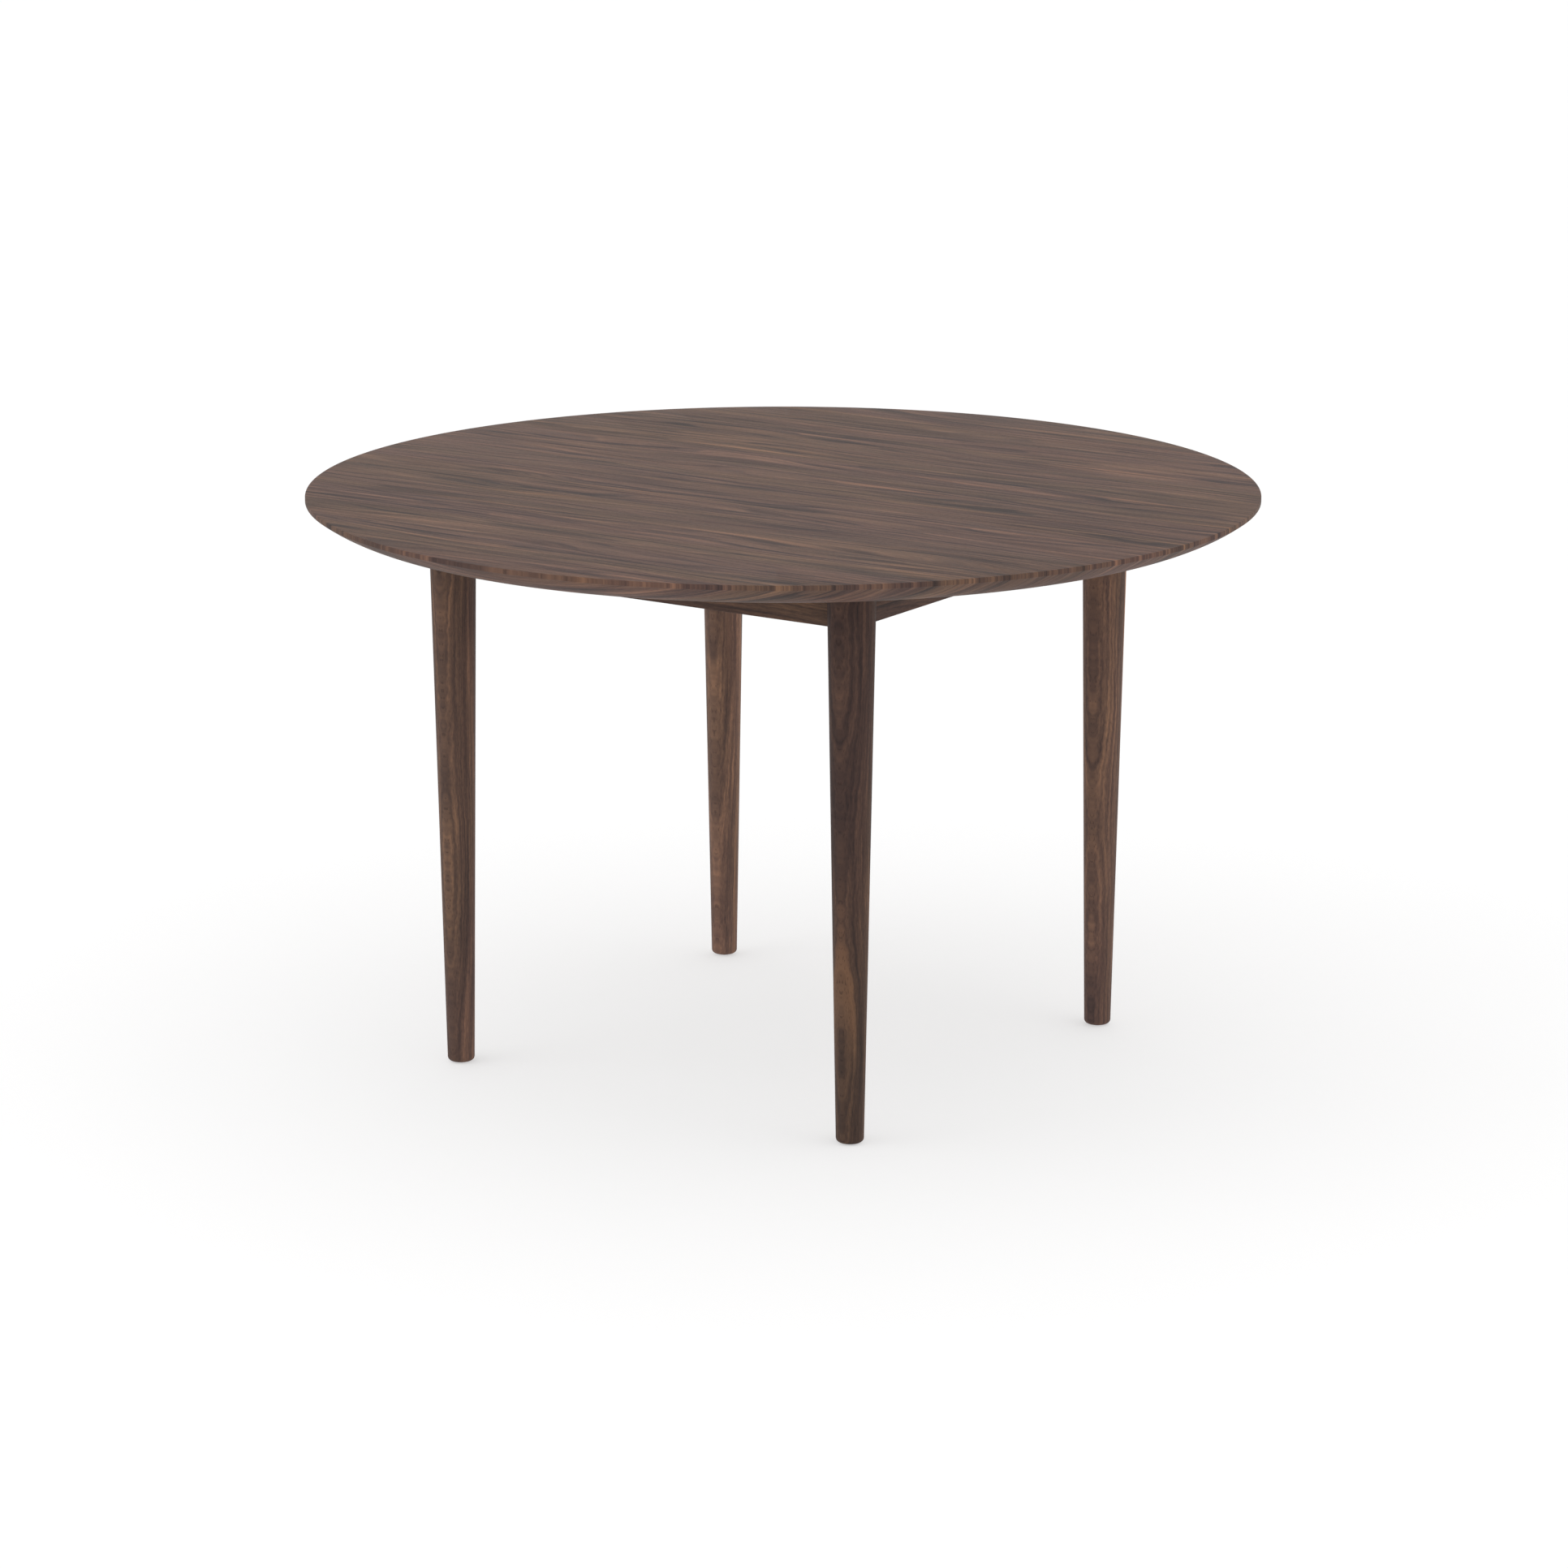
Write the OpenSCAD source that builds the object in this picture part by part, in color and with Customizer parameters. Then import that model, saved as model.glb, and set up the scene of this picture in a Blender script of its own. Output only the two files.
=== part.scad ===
// Round dining table: a fixed solid-wood top on a square frame of four rails, with a round tapered leg
// at each corner and a levelling glide in each foot.
// The origin is on the floor under the middle of the top, +Z is up, the grain of the top runs along X,
// and the front is -Y. Millimetres.

/* [Overall] */
// Diameter of the top
top_d = 1200; // [900:10:1500]
// Height from the floor to the face of the top
table_h = 730; // [560:5:780]

/* [Top] */
// Thickness of the top where its underside is flat
top_t = 36; // [28:1:50]
// Height of the upright edge of the top
edge_h = 6; // [3:0.5:12]
// Width of the undercut, from the edge inwards
undercut_w = 90; // [60:5:130]
// Number of staves glued edge to edge
stave_count = 12; // [6:1:16]

/* [Legs] */
// Distance from the edge of the top to the axis of a leg
leg_inset = 180; // [150:5:220]
// Diameter of a leg at the foot, before the rounding
leg_foot_d = 34.5; // [32:0.5:44]
// Diameter of a leg where it meets the top
leg_top_d = 59; // [48:0.5:72]
// Radius of the rounding at the foot
foot_round = 5.5; // [1:0.5:6]

/* [Rails] */
// Height of a rail
rail_h = 58; // [52:1:90]
// Thickness of a rail
rail_t = 20; // [16:0.5:24]
// Distance from the axis of a leg in to the outer face of a rail
rail_setback = 3; // [1:0.5:4]
// Depth of the flat cut on a leg where its bolts go in
bolt_flat_cut = 4.5; // [2:0.5:6]

/* [Corner plates] */
// Thickness of the sheet
plate_t = 2.5; // [2:0.5:3]
// Height of a corner plate
plate_h = 44; // [40:1:48]
// Distance from the axis of a leg to where the plate leaves the rail
plate_reach = 64; // [60:1:80]
// Length of the flange along a rail
flange_w = 30; // [28:1:40]
// Depth of the bent tab in its saw cut
tab_depth = 8; // [5:0.5:10]

/* [Bolts and screws] */
// Diameter of a hanger bolt
bolt_d = 8; // [6:1:10]
// Length of a hanger bolt beyond the axis of its leg
bolt_past_axis = 16; // [10:1:20]
// Distance between the two bolts of a leg
bolt_spacing = 24; // [20:1:26]
// Diameter of a washer
washer_d = 16; // [14:1:20]
// Thickness of a washer
washer_t = 1.6; // [1:0.2:2]
// Width of a nut across its flats
nut_af = 13; // [13:1:17]
// Height of a nut
nut_h = 6.5; // [5:0.5:8]
// Shank diameter of a corner plate screw
plate_screw_d = 4; // [3.5:0.5:5]
// Length of a corner plate screw in the wood
plate_screw_bite = 14; // [10:1:16]

/* [Top clips] */
// Thickness of the clip strip
clip_t = 2; // [1.5:0.5:3]
// Width of a clip along its rail
clip_w = 20; // [16:1:30]
// Distance from the underside of the top down to a clip's tongue
clip_drop = 12; // [9:1:16]
// Length of the clip's foot under the top
clip_foot = 24; // [20:1:30]
// Depth of the groove for the clips in a rail
groove_depth = 8; // [5:0.5:9]
// Distance from the axis of a leg to the middle of a clip
clip_from_leg = 147; // [120:1:160]
// Shank diameter of a clip screw
clip_screw_d = 4.5; // [4:0.5:5]
// Length of a clip screw in the top
clip_screw_bite = 16; // [12:1:20]

/* [Levelling glides] */
// Height of the leg's end above the floor with the glide screwed in
foot_gap = 1.5; // [1:0.25:4]
// Diameter of a glide pad
pad_d = 18; // [16:0.5:19]
// Height of a glide pad
pad_h = 7; // [6.5:0.5:9]
// Diameter of the threaded stem
stem_d = 8; // [6:0.2:10]
// Length of the stem above its flange
stem_len = 26; // [22:1:34]
// Outer diameter of the threaded insert
insert_d = 12; // [11:0.5:14]
// Length of the threaded insert
insert_len = 15; // [12:1:18]

/* [Hidden] */
$fn = 96;
CORNERS = ["rear_right", "rear_left", "front_left", "front_right"];
SIDES = ["right", "rear", "left", "front"];
STAVES = [for (i = [1 : stave_count]) str("top_stave_", i < 10 ? "0" : "", i)];

// Colours
WALNUT = [0.42, 0.36, 0.34];
WALNUT_DARK = [0.36, 0.28, 0.25];
STEEL = [0.62, 0.62, 0.64];
ZINC = [0.72, 0.70, 0.62];
NYLON = [0.10, 0.10, 0.10];

// Clearances
run_fit = 0.05;   // round a piece that turns in its neighbour, on the radius
loose_fit = 0.2;  // on each side of a sheet in its slot
clear_fit = 0.5;  // round a piece that passes through a hole, on the radius
eps = 1;          // a cut runs this far past the face it opens

// Top
underside_z = table_h - top_t;
flat_r = top_d / 2 - undercut_w;
undercut_rise = top_t - edge_h;
undercut_r = (undercut_rise * undercut_rise + undercut_w * undercut_w) / (2 * undercut_rise);
stave_w = top_d / stave_count;

// Frame
leg_pos = (top_d / 2 - leg_inset) / sqrt(2);
leg_len = underside_z - foot_gap;
foot_r = leg_foot_d / 2;
rail_z = underside_z - rail_h;
rail_mid_z = underside_z - rail_h / 2;
// radius of a leg at the lower edge of the rails, and the least that a rail's end is housed in it
leg_taper = (leg_top_d / 2 - foot_r) / (leg_len - foot_round);
leg_r_low = foot_r + leg_taper * (rail_z - foot_gap - foot_round);
housing_min = 3;
rail_back = min(rail_setback + rail_t, leg_r_low - housing_min);
bolt_flat = leg_r_low - bolt_flat_cut;
rail_end_gap = 1;
bolt_way_gap = 1;
rail_len = 2 * (leg_pos - rail_back - rail_end_gap);
rail_in = leg_pos - rail_back;

// Corner plates and their bolts, measured inwards from the axis of the leg
web_along = (plate_reach + rail_back + plate_t / 2) / 2;
web_dist = web_along * sqrt(2);
web_len = (plate_reach - rail_back - plate_t / 2) * sqrt(2);
tab_at = plate_reach + flange_w;
nut_seat = web_dist + plate_t / 2 + washer_t;
bolt_end_past_nut = 3;
bolt_len = bolt_past_axis + nut_seat + nut_h + bolt_end_past_nut;
plate_screw_head_d = 2 * plate_screw_d;
plate_screw_head_h = 2.2;
// each flange's screws: distance along the flange, and height from the middle of the rail
plate_screw_places = [[flange_w * 0.3, 10], [flange_w * 0.7, -10]];

// Clips
clip_z = underside_z - clip_drop;
clip_gap = 0.3;
clip_y = leg_pos - clip_from_leg;
clip_screw_x = rail_in - clip_foot * 0.6;
clip_screw_head_d = 2 * clip_screw_d;
clip_screw_head_h = 2.5;

// Glides, measured up from the floor
pad_floor = 2.5;
flange_t = 2.2;
flange_d = stem_d + 4;
axial_fit = 0.1;
stem_z = pad_floor + axial_fit;
stem_top_z = stem_z + flange_t + stem_len;
recess_top_z = pad_h + clear_fit;
key_af = 4;
key_depth = 5;
key_hole_d = 6;

module at_side(i) {
    rotate([0, 0, 90 * i])
        children();
}

// Corner i, with the leg's axis on Z and the middle of the table towards -X -Y
module at_corner(i) {
    rotate([0, 0, 90 * i])
        translate([leg_pos, leg_pos, 0])
            children();
}

module at_corners() {
    for (i = [0 : 3]) {
        at_corner(i)
            children();
    }
}

// The two bolt axes of a corner: local Z runs from the leg's axis towards the middle of the table
module at_bolts(dist) {
    for (dz = [-bolt_spacing / 2, bolt_spacing / 2]) {
        rotate([0, 0, 225])
            translate([dist, 0, rail_mid_z + dz])
                rotate([0, 90, 0])
                    children();
    }
}

// The four plate screws of a corner: local Z runs into the rail from the face that the plate lies on
module at_plate_screws() {
    for (p = plate_screw_places) {
        translate([-plate_reach - p[0], -rail_back, rail_mid_z + p[1]])
            rotate([-90, 0, 0])
                children();
        translate([-rail_back, -plate_reach - p[0], rail_mid_z + p[1]])
            rotate([0, 90, 0])
                children();
    }
}

// The two clips of a rail, in the frame of the right-hand rail
module at_clips() {
    for (y = [-clip_y, clip_y]) {
        translate([0, y, 0])
            children();
    }
}

module plate_screw_shanks() {
    at_corners()
        at_plate_screws()
            cylinder(h = plate_screw_bite, d = plate_screw_d);
}

module clip_screw_shanks() {
    for (i = [0 : 3]) {
        at_side(i)
            at_clips()
                translate([clip_screw_x, 0, underside_z])
                    cylinder(h = clip_screw_bite, d = clip_screw_d);
    }
}

// The turned outline of the top: upright edge, then an arc that runs in level with the flat underside
module top_outline() {
    intersection() {
        square([top_d / 2, top_t]);
        union() {
            square([flat_r, top_t]);
            translate([flat_r, undercut_r])
                circle(undercut_r);
        }
    }
}

module top_stave(i) {
    color(WALNUT)
        difference() {
            intersection() {
                translate([0, 0, underside_z])
                    rotate_extrude()
                        top_outline();
                translate([-top_d, -top_d / 2 + i * stave_w, underside_z - eps])
                    cube([2 * top_d, stave_w, top_t + 2 * eps]);
            }
            clip_screw_shanks();
        }
}

// A straight taper that starts above a quarter-round foot
module leg_blank() {
    rotate_extrude()
        union() {
            square([foot_r - foot_round, 2 * foot_round]);
            translate([foot_r - foot_round, foot_round])
                circle(foot_round);
        }
    translate([0, 0, foot_round])
        cylinder(h = leg_len - foot_round, r1 = foot_r, r2 = leg_top_d / 2);
}

// The stepped hole in the foot: recess for the pad, seat for the insert, room for the stem
module glide_hole() {
    translate([0, 0, foot_gap - eps])
        cylinder(h = recess_top_z - foot_gap + eps, r = pad_d / 2 + clear_fit);
    translate([0, 0, recess_top_z - eps])
        cylinder(h = insert_len + eps, d = insert_d);
    translate([0, 0, recess_top_z])
        cylinder(h = stem_top_z - recess_top_z + clear_fit, r = stem_d / 2 + clear_fit);
}

// One housing for a rail's end, cut from the face that the rail butts on inwards
module rail_housing() {
    translate([-leg_pos, -rail_back, rail_z])
        cube([leg_pos - rail_back - rail_end_gap, rail_t, rail_h + eps]);
}

module leg(i) {
    color(WALNUT_DARK)
        at_corner(i)
            difference() {
                translate([0, 0, foot_gap])
                    leg_blank();
                rail_housing();
                mirror([1, -1, 0])
                    rail_housing();
                // the flat that faces the corner plate
                rotate([0, 0, 225])
                    translate([bolt_flat, -leg_top_d, rail_z])
                        cube([leg_top_d, 2 * leg_top_d, rail_h + eps]);
                at_bolts(-bolt_past_axis)
                    cylinder(h = bolt_past_axis + leg_top_d, d = bolt_d);
                glide_hole();
            }
}

// The slot between the ends of two rails that the bolts of a leg run through
module bolt_way() {
    rotate([0, 0, 225])
        translate([0, -bolt_d / 2 - bolt_way_gap, rail_z - eps])
            cube([plate_reach, bolt_d + 2 * bolt_way_gap, rail_h + 2 * eps]);
}

module rail(i) {
    color(WALNUT_DARK)
        difference() {
            at_side(i)
                difference() {
                    translate([rail_in, -rail_len / 2, rail_z])
                        cube([rail_t, rail_len, rail_h]);
                    // groove for the clips
                    translate([rail_in - eps, -rail_len, clip_z - loose_fit])
                        cube([groove_depth + eps, 2 * rail_len, clip_t + 2 * loose_fit]);
                    // saw cuts for the tabs of the two corner plates
                    for (s = [-1, 1]) {
                        translate([rail_in - eps, s * (leg_pos - tab_at + plate_t / 2), rail_mid_z])
                            translate([0, -plate_t / 2 - loose_fit, -rail_h])
                                cube([tab_depth + loose_fit + eps, plate_t + 2 * loose_fit, 2 * rail_h]);
                    }
                }
            at_corners()
                bolt_way();
            plate_screw_shanks();
        }
}

// Half of the plate's outline: the flange along one rail and the tab in its saw cut
module plate_half() {
    translate([-tab_at, -rail_back - plate_t])
        square([flange_w + plate_t / 2, plate_t]);
    translate([-tab_at, -rail_back - plate_t])
        square([plate_t, plate_t + tab_depth]);
}

module corner_plate(i) {
    color(STEEL)
        at_corner(i)
            difference() {
                translate([0, 0, rail_mid_z - plate_h / 2])
                    linear_extrude(plate_h)
                        union() {
                            plate_half();
                            mirror([1, -1])
                                plate_half();
                            translate([-web_along, -web_along])
                                rotate(-45)
                                    square([web_len, plate_t], center = true);
                        }
                at_bolts(web_dist - plate_t)
                    cylinder(h = 2 * plate_t, r = bolt_d / 2 + clear_fit / 2);
                at_plate_screws()
                    translate([0, 0, -plate_t - eps])
                        cylinder(h = plate_t + 2 * eps, r = plate_screw_d / 2 + clear_fit / 2);
            }
}

module hanger_bolts() {
    color(ZINC)
        at_corners()
            at_bolts(-bolt_past_axis)
                cylinder(h = bolt_len, d = bolt_d);
}

module bolt_washers() {
    color(ZINC)
        at_corners()
            at_bolts(nut_seat - washer_t)
                difference() {
                    cylinder(h = washer_t, d = washer_d);
                    translate([0, 0, -eps])
                        cylinder(h = washer_t + 2 * eps, r = bolt_d / 2 + clear_fit / 2);
                }
}

module bolt_nuts() {
    color(ZINC)
        at_corners()
            at_bolts(nut_seat)
                difference() {
                    cylinder(h = nut_h, d = nut_af / cos(30), $fn = 6);
                    translate([0, 0, -eps])
                        cylinder(h = nut_h + 2 * eps, d = bolt_d);
                }
}

module plate_screws() {
    color(ZINC)
        at_corners()
            at_plate_screws()
                union() {
                    translate([0, 0, -plate_t])
                        cylinder(h = plate_t + plate_screw_bite, d = plate_screw_d);
                    translate([0, 0, -plate_t - plate_screw_head_h])
                        cylinder(h = plate_screw_head_h, d = plate_screw_head_d);
                }
}

// One Z-shaped clip: tongue in the groove, riser beside the rail, foot under the top
module clip() {
    difference() {
        translate([0, -clip_w / 2, 0])
            union() {
                translate([rail_in - clip_gap - clip_t, 0, clip_z])
                    cube([clip_gap + clip_t + groove_depth - eps, clip_w, clip_t]);
                translate([rail_in - clip_gap - clip_t, 0, clip_z])
                    cube([clip_t, clip_w, clip_drop]);
                translate([rail_in - clip_foot, 0, underside_z - clip_t])
                    cube([clip_foot - clip_gap, clip_w, clip_t]);
            }
        translate([clip_screw_x, 0, underside_z - clip_t - eps])
            cylinder(h = clip_t + 2 * eps, r = clip_screw_d / 2 + clear_fit / 2);
    }
}

module top_clips() {
    color(STEEL)
        for (i = [0 : 3]) {
            at_side(i)
                at_clips()
                    clip();
        }
}

module clip_screws() {
    color(ZINC)
        for (i = [0 : 3]) {
            at_side(i)
                at_clips()
                    translate([clip_screw_x, 0, underside_z - clip_t])
                        union() {
                            cylinder(h = clip_t + clip_screw_bite, d = clip_screw_d);
                            translate([0, 0, -clip_screw_head_h])
                                cylinder(h = clip_screw_head_h, d = clip_screw_head_d);
                        }
        }
}

module foot_insert(i) {
    color(ZINC)
        at_corner(i)
            translate([0, 0, recess_top_z])
                difference() {
                    cylinder(h = insert_len, d = insert_d);
                    translate([0, 0, -eps])
                        cylinder(h = insert_len + 2 * eps, r = stem_d / 2 + run_fit);
                }
}

// Threaded stem with a flange that the pad holds, and a key socket in its lower end
module glide_stem(i) {
    color(ZINC)
        at_corner(i)
            translate([0, 0, stem_z])
                difference() {
                    union() {
                        cylinder(h = flange_t, d = flange_d);
                        cylinder(h = flange_t + stem_len, d = stem_d);
                    }
                    translate([0, 0, -eps])
                        cylinder(h = key_depth + eps, d = key_af / cos(30), $fn = 6);
                }
}

// Pad that snaps over the flange of the stem, with a hole for the key
module glide_pad(i) {
    color(NYLON)
        at_corner(i)
            difference() {
                cylinder(h = pad_h, d = pad_d);
                translate([0, 0, -eps])
                    cylinder(h = pad_h + eps, d = key_hole_d);
                translate([0, 0, pad_floor])
                    cylinder(h = flange_t + 2 * axial_fit, r = flange_d / 2 + run_fit);
                translate([0, 0, pad_floor])
                    cylinder(h = pad_h, r = stem_d / 2 + run_fit);
            }
}

for (i = [0 : stave_count - 1]) {
    top_stave(i);
}
for (i = [0 : 3]) {
    leg(i);
    rail(i);
    corner_plate(i);
    foot_insert(i);
    glide_stem(i);
    glide_pad(i);
}
hanger_bolts();
bolt_washers();
bolt_nuts();
plate_screws();
top_clips();
clip_screws();
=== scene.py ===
"""Round solid-wood dining table: the finished pieces, their materials and a plain stage.

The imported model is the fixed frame. Every visible piece is built here from the sizes below, takes the place
of its plain counterpart in the frame, and rides on the same body. Metres, +Z up, grain of the top along X.
"""

import math
from collections import namedtuple

import bmesh
import bpy
from bpy.props import FloatProperty, FloatVectorProperty, IntProperty, PointerProperty
from mathutils import Matrix, Vector


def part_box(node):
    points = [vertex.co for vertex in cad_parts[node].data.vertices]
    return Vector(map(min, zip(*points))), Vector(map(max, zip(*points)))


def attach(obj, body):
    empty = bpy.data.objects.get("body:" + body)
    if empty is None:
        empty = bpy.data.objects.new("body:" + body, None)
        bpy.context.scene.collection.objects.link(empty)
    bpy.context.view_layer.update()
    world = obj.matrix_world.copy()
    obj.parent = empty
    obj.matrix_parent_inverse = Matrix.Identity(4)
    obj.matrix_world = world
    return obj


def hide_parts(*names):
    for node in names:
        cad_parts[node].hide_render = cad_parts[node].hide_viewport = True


bl_info = {
    "name": "Round Dining Table",
    "version": (1, 0, 0),
    "blender": (4, 5, 0),
    "location": "3D View > Sidebar > Table",
    "description": "Builds a round solid-wood dining table with tapered legs around its packed frame",
    "category": "Add Mesh",
}

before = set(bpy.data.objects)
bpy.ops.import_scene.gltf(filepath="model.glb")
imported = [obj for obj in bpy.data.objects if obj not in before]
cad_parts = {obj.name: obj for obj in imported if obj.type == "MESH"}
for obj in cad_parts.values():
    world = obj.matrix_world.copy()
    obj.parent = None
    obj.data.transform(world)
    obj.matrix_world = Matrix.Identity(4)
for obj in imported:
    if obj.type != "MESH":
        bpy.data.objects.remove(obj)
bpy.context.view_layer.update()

CORNERS = ("rear_right", "rear_left", "front_left", "front_right")
SIDES = ("right", "rear", "left", "front")
STAVES = sorted(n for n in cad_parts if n.startswith("top_stave_"))

# from a leg towards the middle of the table, for the leg at +X +Y
INWARDS = Vector((-1, -1, 0)).normalized()
# how far a cutter reaches past the piece that it cuts
PAST = 0.001
FAR_PAST = 0.1
# how far the slots for the bolts run along a rail's end, as a share of the distance to the saw cut
BOLT_WAY = 2 / 3

# faces along a bend, an undercut and a rounding, and round the small turned pieces
BEND_STEPS = 8
UNDERCUT_STEPS = 20
ARRIS_STEPS = 6
RAIL_ARRIS_STEPS = 4
FOOT_STEPS = 12
FITTING_STEPS = 48
HOLE_STEPS = 32
PILOT_STEPS = 20
SMALL_HOLE_STEPS = 24
SCREW_STEPS = 40
PAD_STEPS = 64
NUT_STEPS = 96

# how far the clips stand off the rails, how far the two screws of a flange stand above and below its middle,
# and where the screws sit along a flange and along the foot of a clip, as shares of it
CLIP_GAP = 0.0003
SCREW_STAGGER = 0.010
PLATE_SCREW_SPOTS = (0.3, 0.7)
CLIP_SCREW_SPOT = 0.6

# threads: depth, and the rings of faces in each turn; then the blunt end and the neck of a hanger bolt
WOOD_THREAD = (0.0012, 8)
INSERT_THREAD = (0.0011, 8)
METAL_THREAD = (0.00077, 5)
INSERT_PITCH = 0.0025
THREAD_CHAMFER = 0.001
BOLT_STEPS = 20
BOLT_POINT = 0.006
BOLT_TIP = 0.2
BOLT_NECK = 0.0006

# a washer's softened edge and the middle radius of a clip's bends, as shares of their thickness
WASHER_SOFT = 0.15
CLIP_BEND = 0.75
# a nut's flat face as a share of its half width, the chamfer of its hole, and its cone in degrees
NUT_FACE = 0.95
NUT_SINK = 0.0004
NUT_CONE = 30
# softened edges of the glides' pieces, and how far past an edge their threads start
INSERT_CHAMFER = 0.0002
INSERT_LEAD = 0.0004
FLANGE_SOFT = 0.0003
STEM_LEAD = 0.0002
PAD_ROUND = 0.0012
PAD_SOFT = 0.0005
PAD_SOFT_STEPS = 3
PAD_KEY_HOLE = 0.003

# a screw, as shares of its shank: its thread's depth, pitch and start, and the length and width of its point
SCREW_THREAD_DEPTH = 0.16
SCREW_THREAD_RINGS = 7
SCREW_THREAD_PITCH = 0.45
SCREW_THREAD_START = 0.1
SCREW_POINT = 1.2
SCREW_TIP = 0.12
# its head, in shares of the head's radius and height: points (radius, height) of the crown, radius of the
# rounded edge, height of that rounding's centre over its radius, angles and steps of it; then the cross
HEAD_CROWN = ((0.25, 1.0), (0.70, 0.92))
HEAD_SOFT = 0.35
HEAD_SHOULDER = 1.3
HEAD_SWEEP = (-65, 0, 5)
CROSS_HALF_WIDTH = 0.13
CROSS_REACH = 0.62
CROSS_FLOOR = 0.40

# how much darker each piece of wood is than the top
RAIL_SHADE = 0.10
LEG_SHADES = {"rear_right": -0.15, "rear_left": -0.42, "front_left": 0.0, "front_right": 0.35}
# the way the grain runs and the way the growth layers lie, in the side rails and in the front and rear rails
RAIL_GRAIN = (((0, 1, 0), (0.42, 0, 0.91)), ((1, 0, 0), (0, 0.42, 0.91)))
# seeds of the first rail and leg, and the step to the next
RAIL_SEEDS = (21.3, 5.1)
LEG_SEEDS = (3.7, 3.7)

# one leg has a band of sapwood: its start behind the leg's axis under the top, its width, how much further
# back it starts for each metre down the leg, and how soft its edges are
SAP_LEG = "rear_right"
SAP_OFFSET = 0.0032
SAP_WIDTH = 0.0090
SAP_LEAN = 0.0215
SAP_SOFTNESS = 0.0008


# Sizes and places that the frame gives

def box_centre(node):
    """Middle of a node's box."""
    low, high = (Vector(v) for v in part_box(node))
    return (low + high) / 2


def box_size(node):
    """Extents of a node's box."""
    low, high = (Vector(v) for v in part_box(node))
    return high - low


LEG_HALF_SPAN = box_centre("glide_pad_rear_right").x
TABLE_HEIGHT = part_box(STAVES[0])[1][2]
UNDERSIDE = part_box(STAVES[0])[0][2]
TOP_RADIUS = max(box_size(n).x for n in STAVES) / 2
RAIL_SIZE = box_size("rail_right")
RAIL_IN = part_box("rail_right")[0][0]
RAIL_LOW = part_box("rail_right")[0][2]
RAIL_MIDDLE = box_centre("rail_right").z
RAIL_BACK = LEG_HALF_SPAN - RAIL_IN
LEG_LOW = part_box("leg_rear_right")[0][2]
PLATE_LOW, PLATE_HIGH = (Vector(v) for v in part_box("corner_plate_rear_right"))
TAB_AT = LEG_HALF_SPAN - PLATE_LOW.x
TAB_DEPTH = PLATE_HIGH.x - RAIL_IN
CLIP_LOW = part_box("top_clips")[0][2]
CLIP_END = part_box("top_clips")[1][0]
INSERT_LOW, INSERT_HIGH = (corner[2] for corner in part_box("foot_insert_rear_right"))
STEM_LOW, STEM_HIGH = (corner[2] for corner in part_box("glide_stem_rear_right"))
STEM_FLANGE = box_size("glide_stem_rear_right").x / 2
INSERT_RADIUS = box_size("foot_insert_rear_right").x / 2
PAD_SIZE = box_size("glide_pad_rear_right")


# Settings

def length(name, description, default):
    """A length setting in metres."""
    return FloatProperty(name=name, description=description, default=default, min=0.0, unit="LENGTH",
                         subtype="DISTANCE", precision=5)


def colour(name, description, default):
    """A colour setting in scene linear values."""
    return FloatVectorProperty(name=name, description=description, default=default, size=3, min=0.0, max=1.0,
                               subtype="COLOR")


class TableSizes(bpy.types.PropertyGroup):
    """Sizes of the finished pieces that the frame's boxes don't give."""

    edge_height: length("Edge height", "Height of the upright edge of the top", 0.006)
    undercut_width: length("Undercut width", "Width of the undercut, from the edge inwards", 0.090)
    top_arris: length("Top arris", "Radius that softens the upper edge of the top", 0.0010)
    foot_diameter: length("Foot diameter", "Diameter of a leg at the foot, before the rounding", 0.0345)
    leg_top_diameter: length("Leg top diameter", "Diameter of a leg where it meets the top", 0.059)
    foot_round: length("Foot rounding", "Radius of the rounding at the foot", 0.0055)
    rail_arris: length("Rail arris", "Radius that softens the long edges of a rail", 0.0012)
    turning_steps: IntProperty(name="Turning steps", description="Faces round a turned piece", default=128,
                               min=16, max=512)


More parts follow.
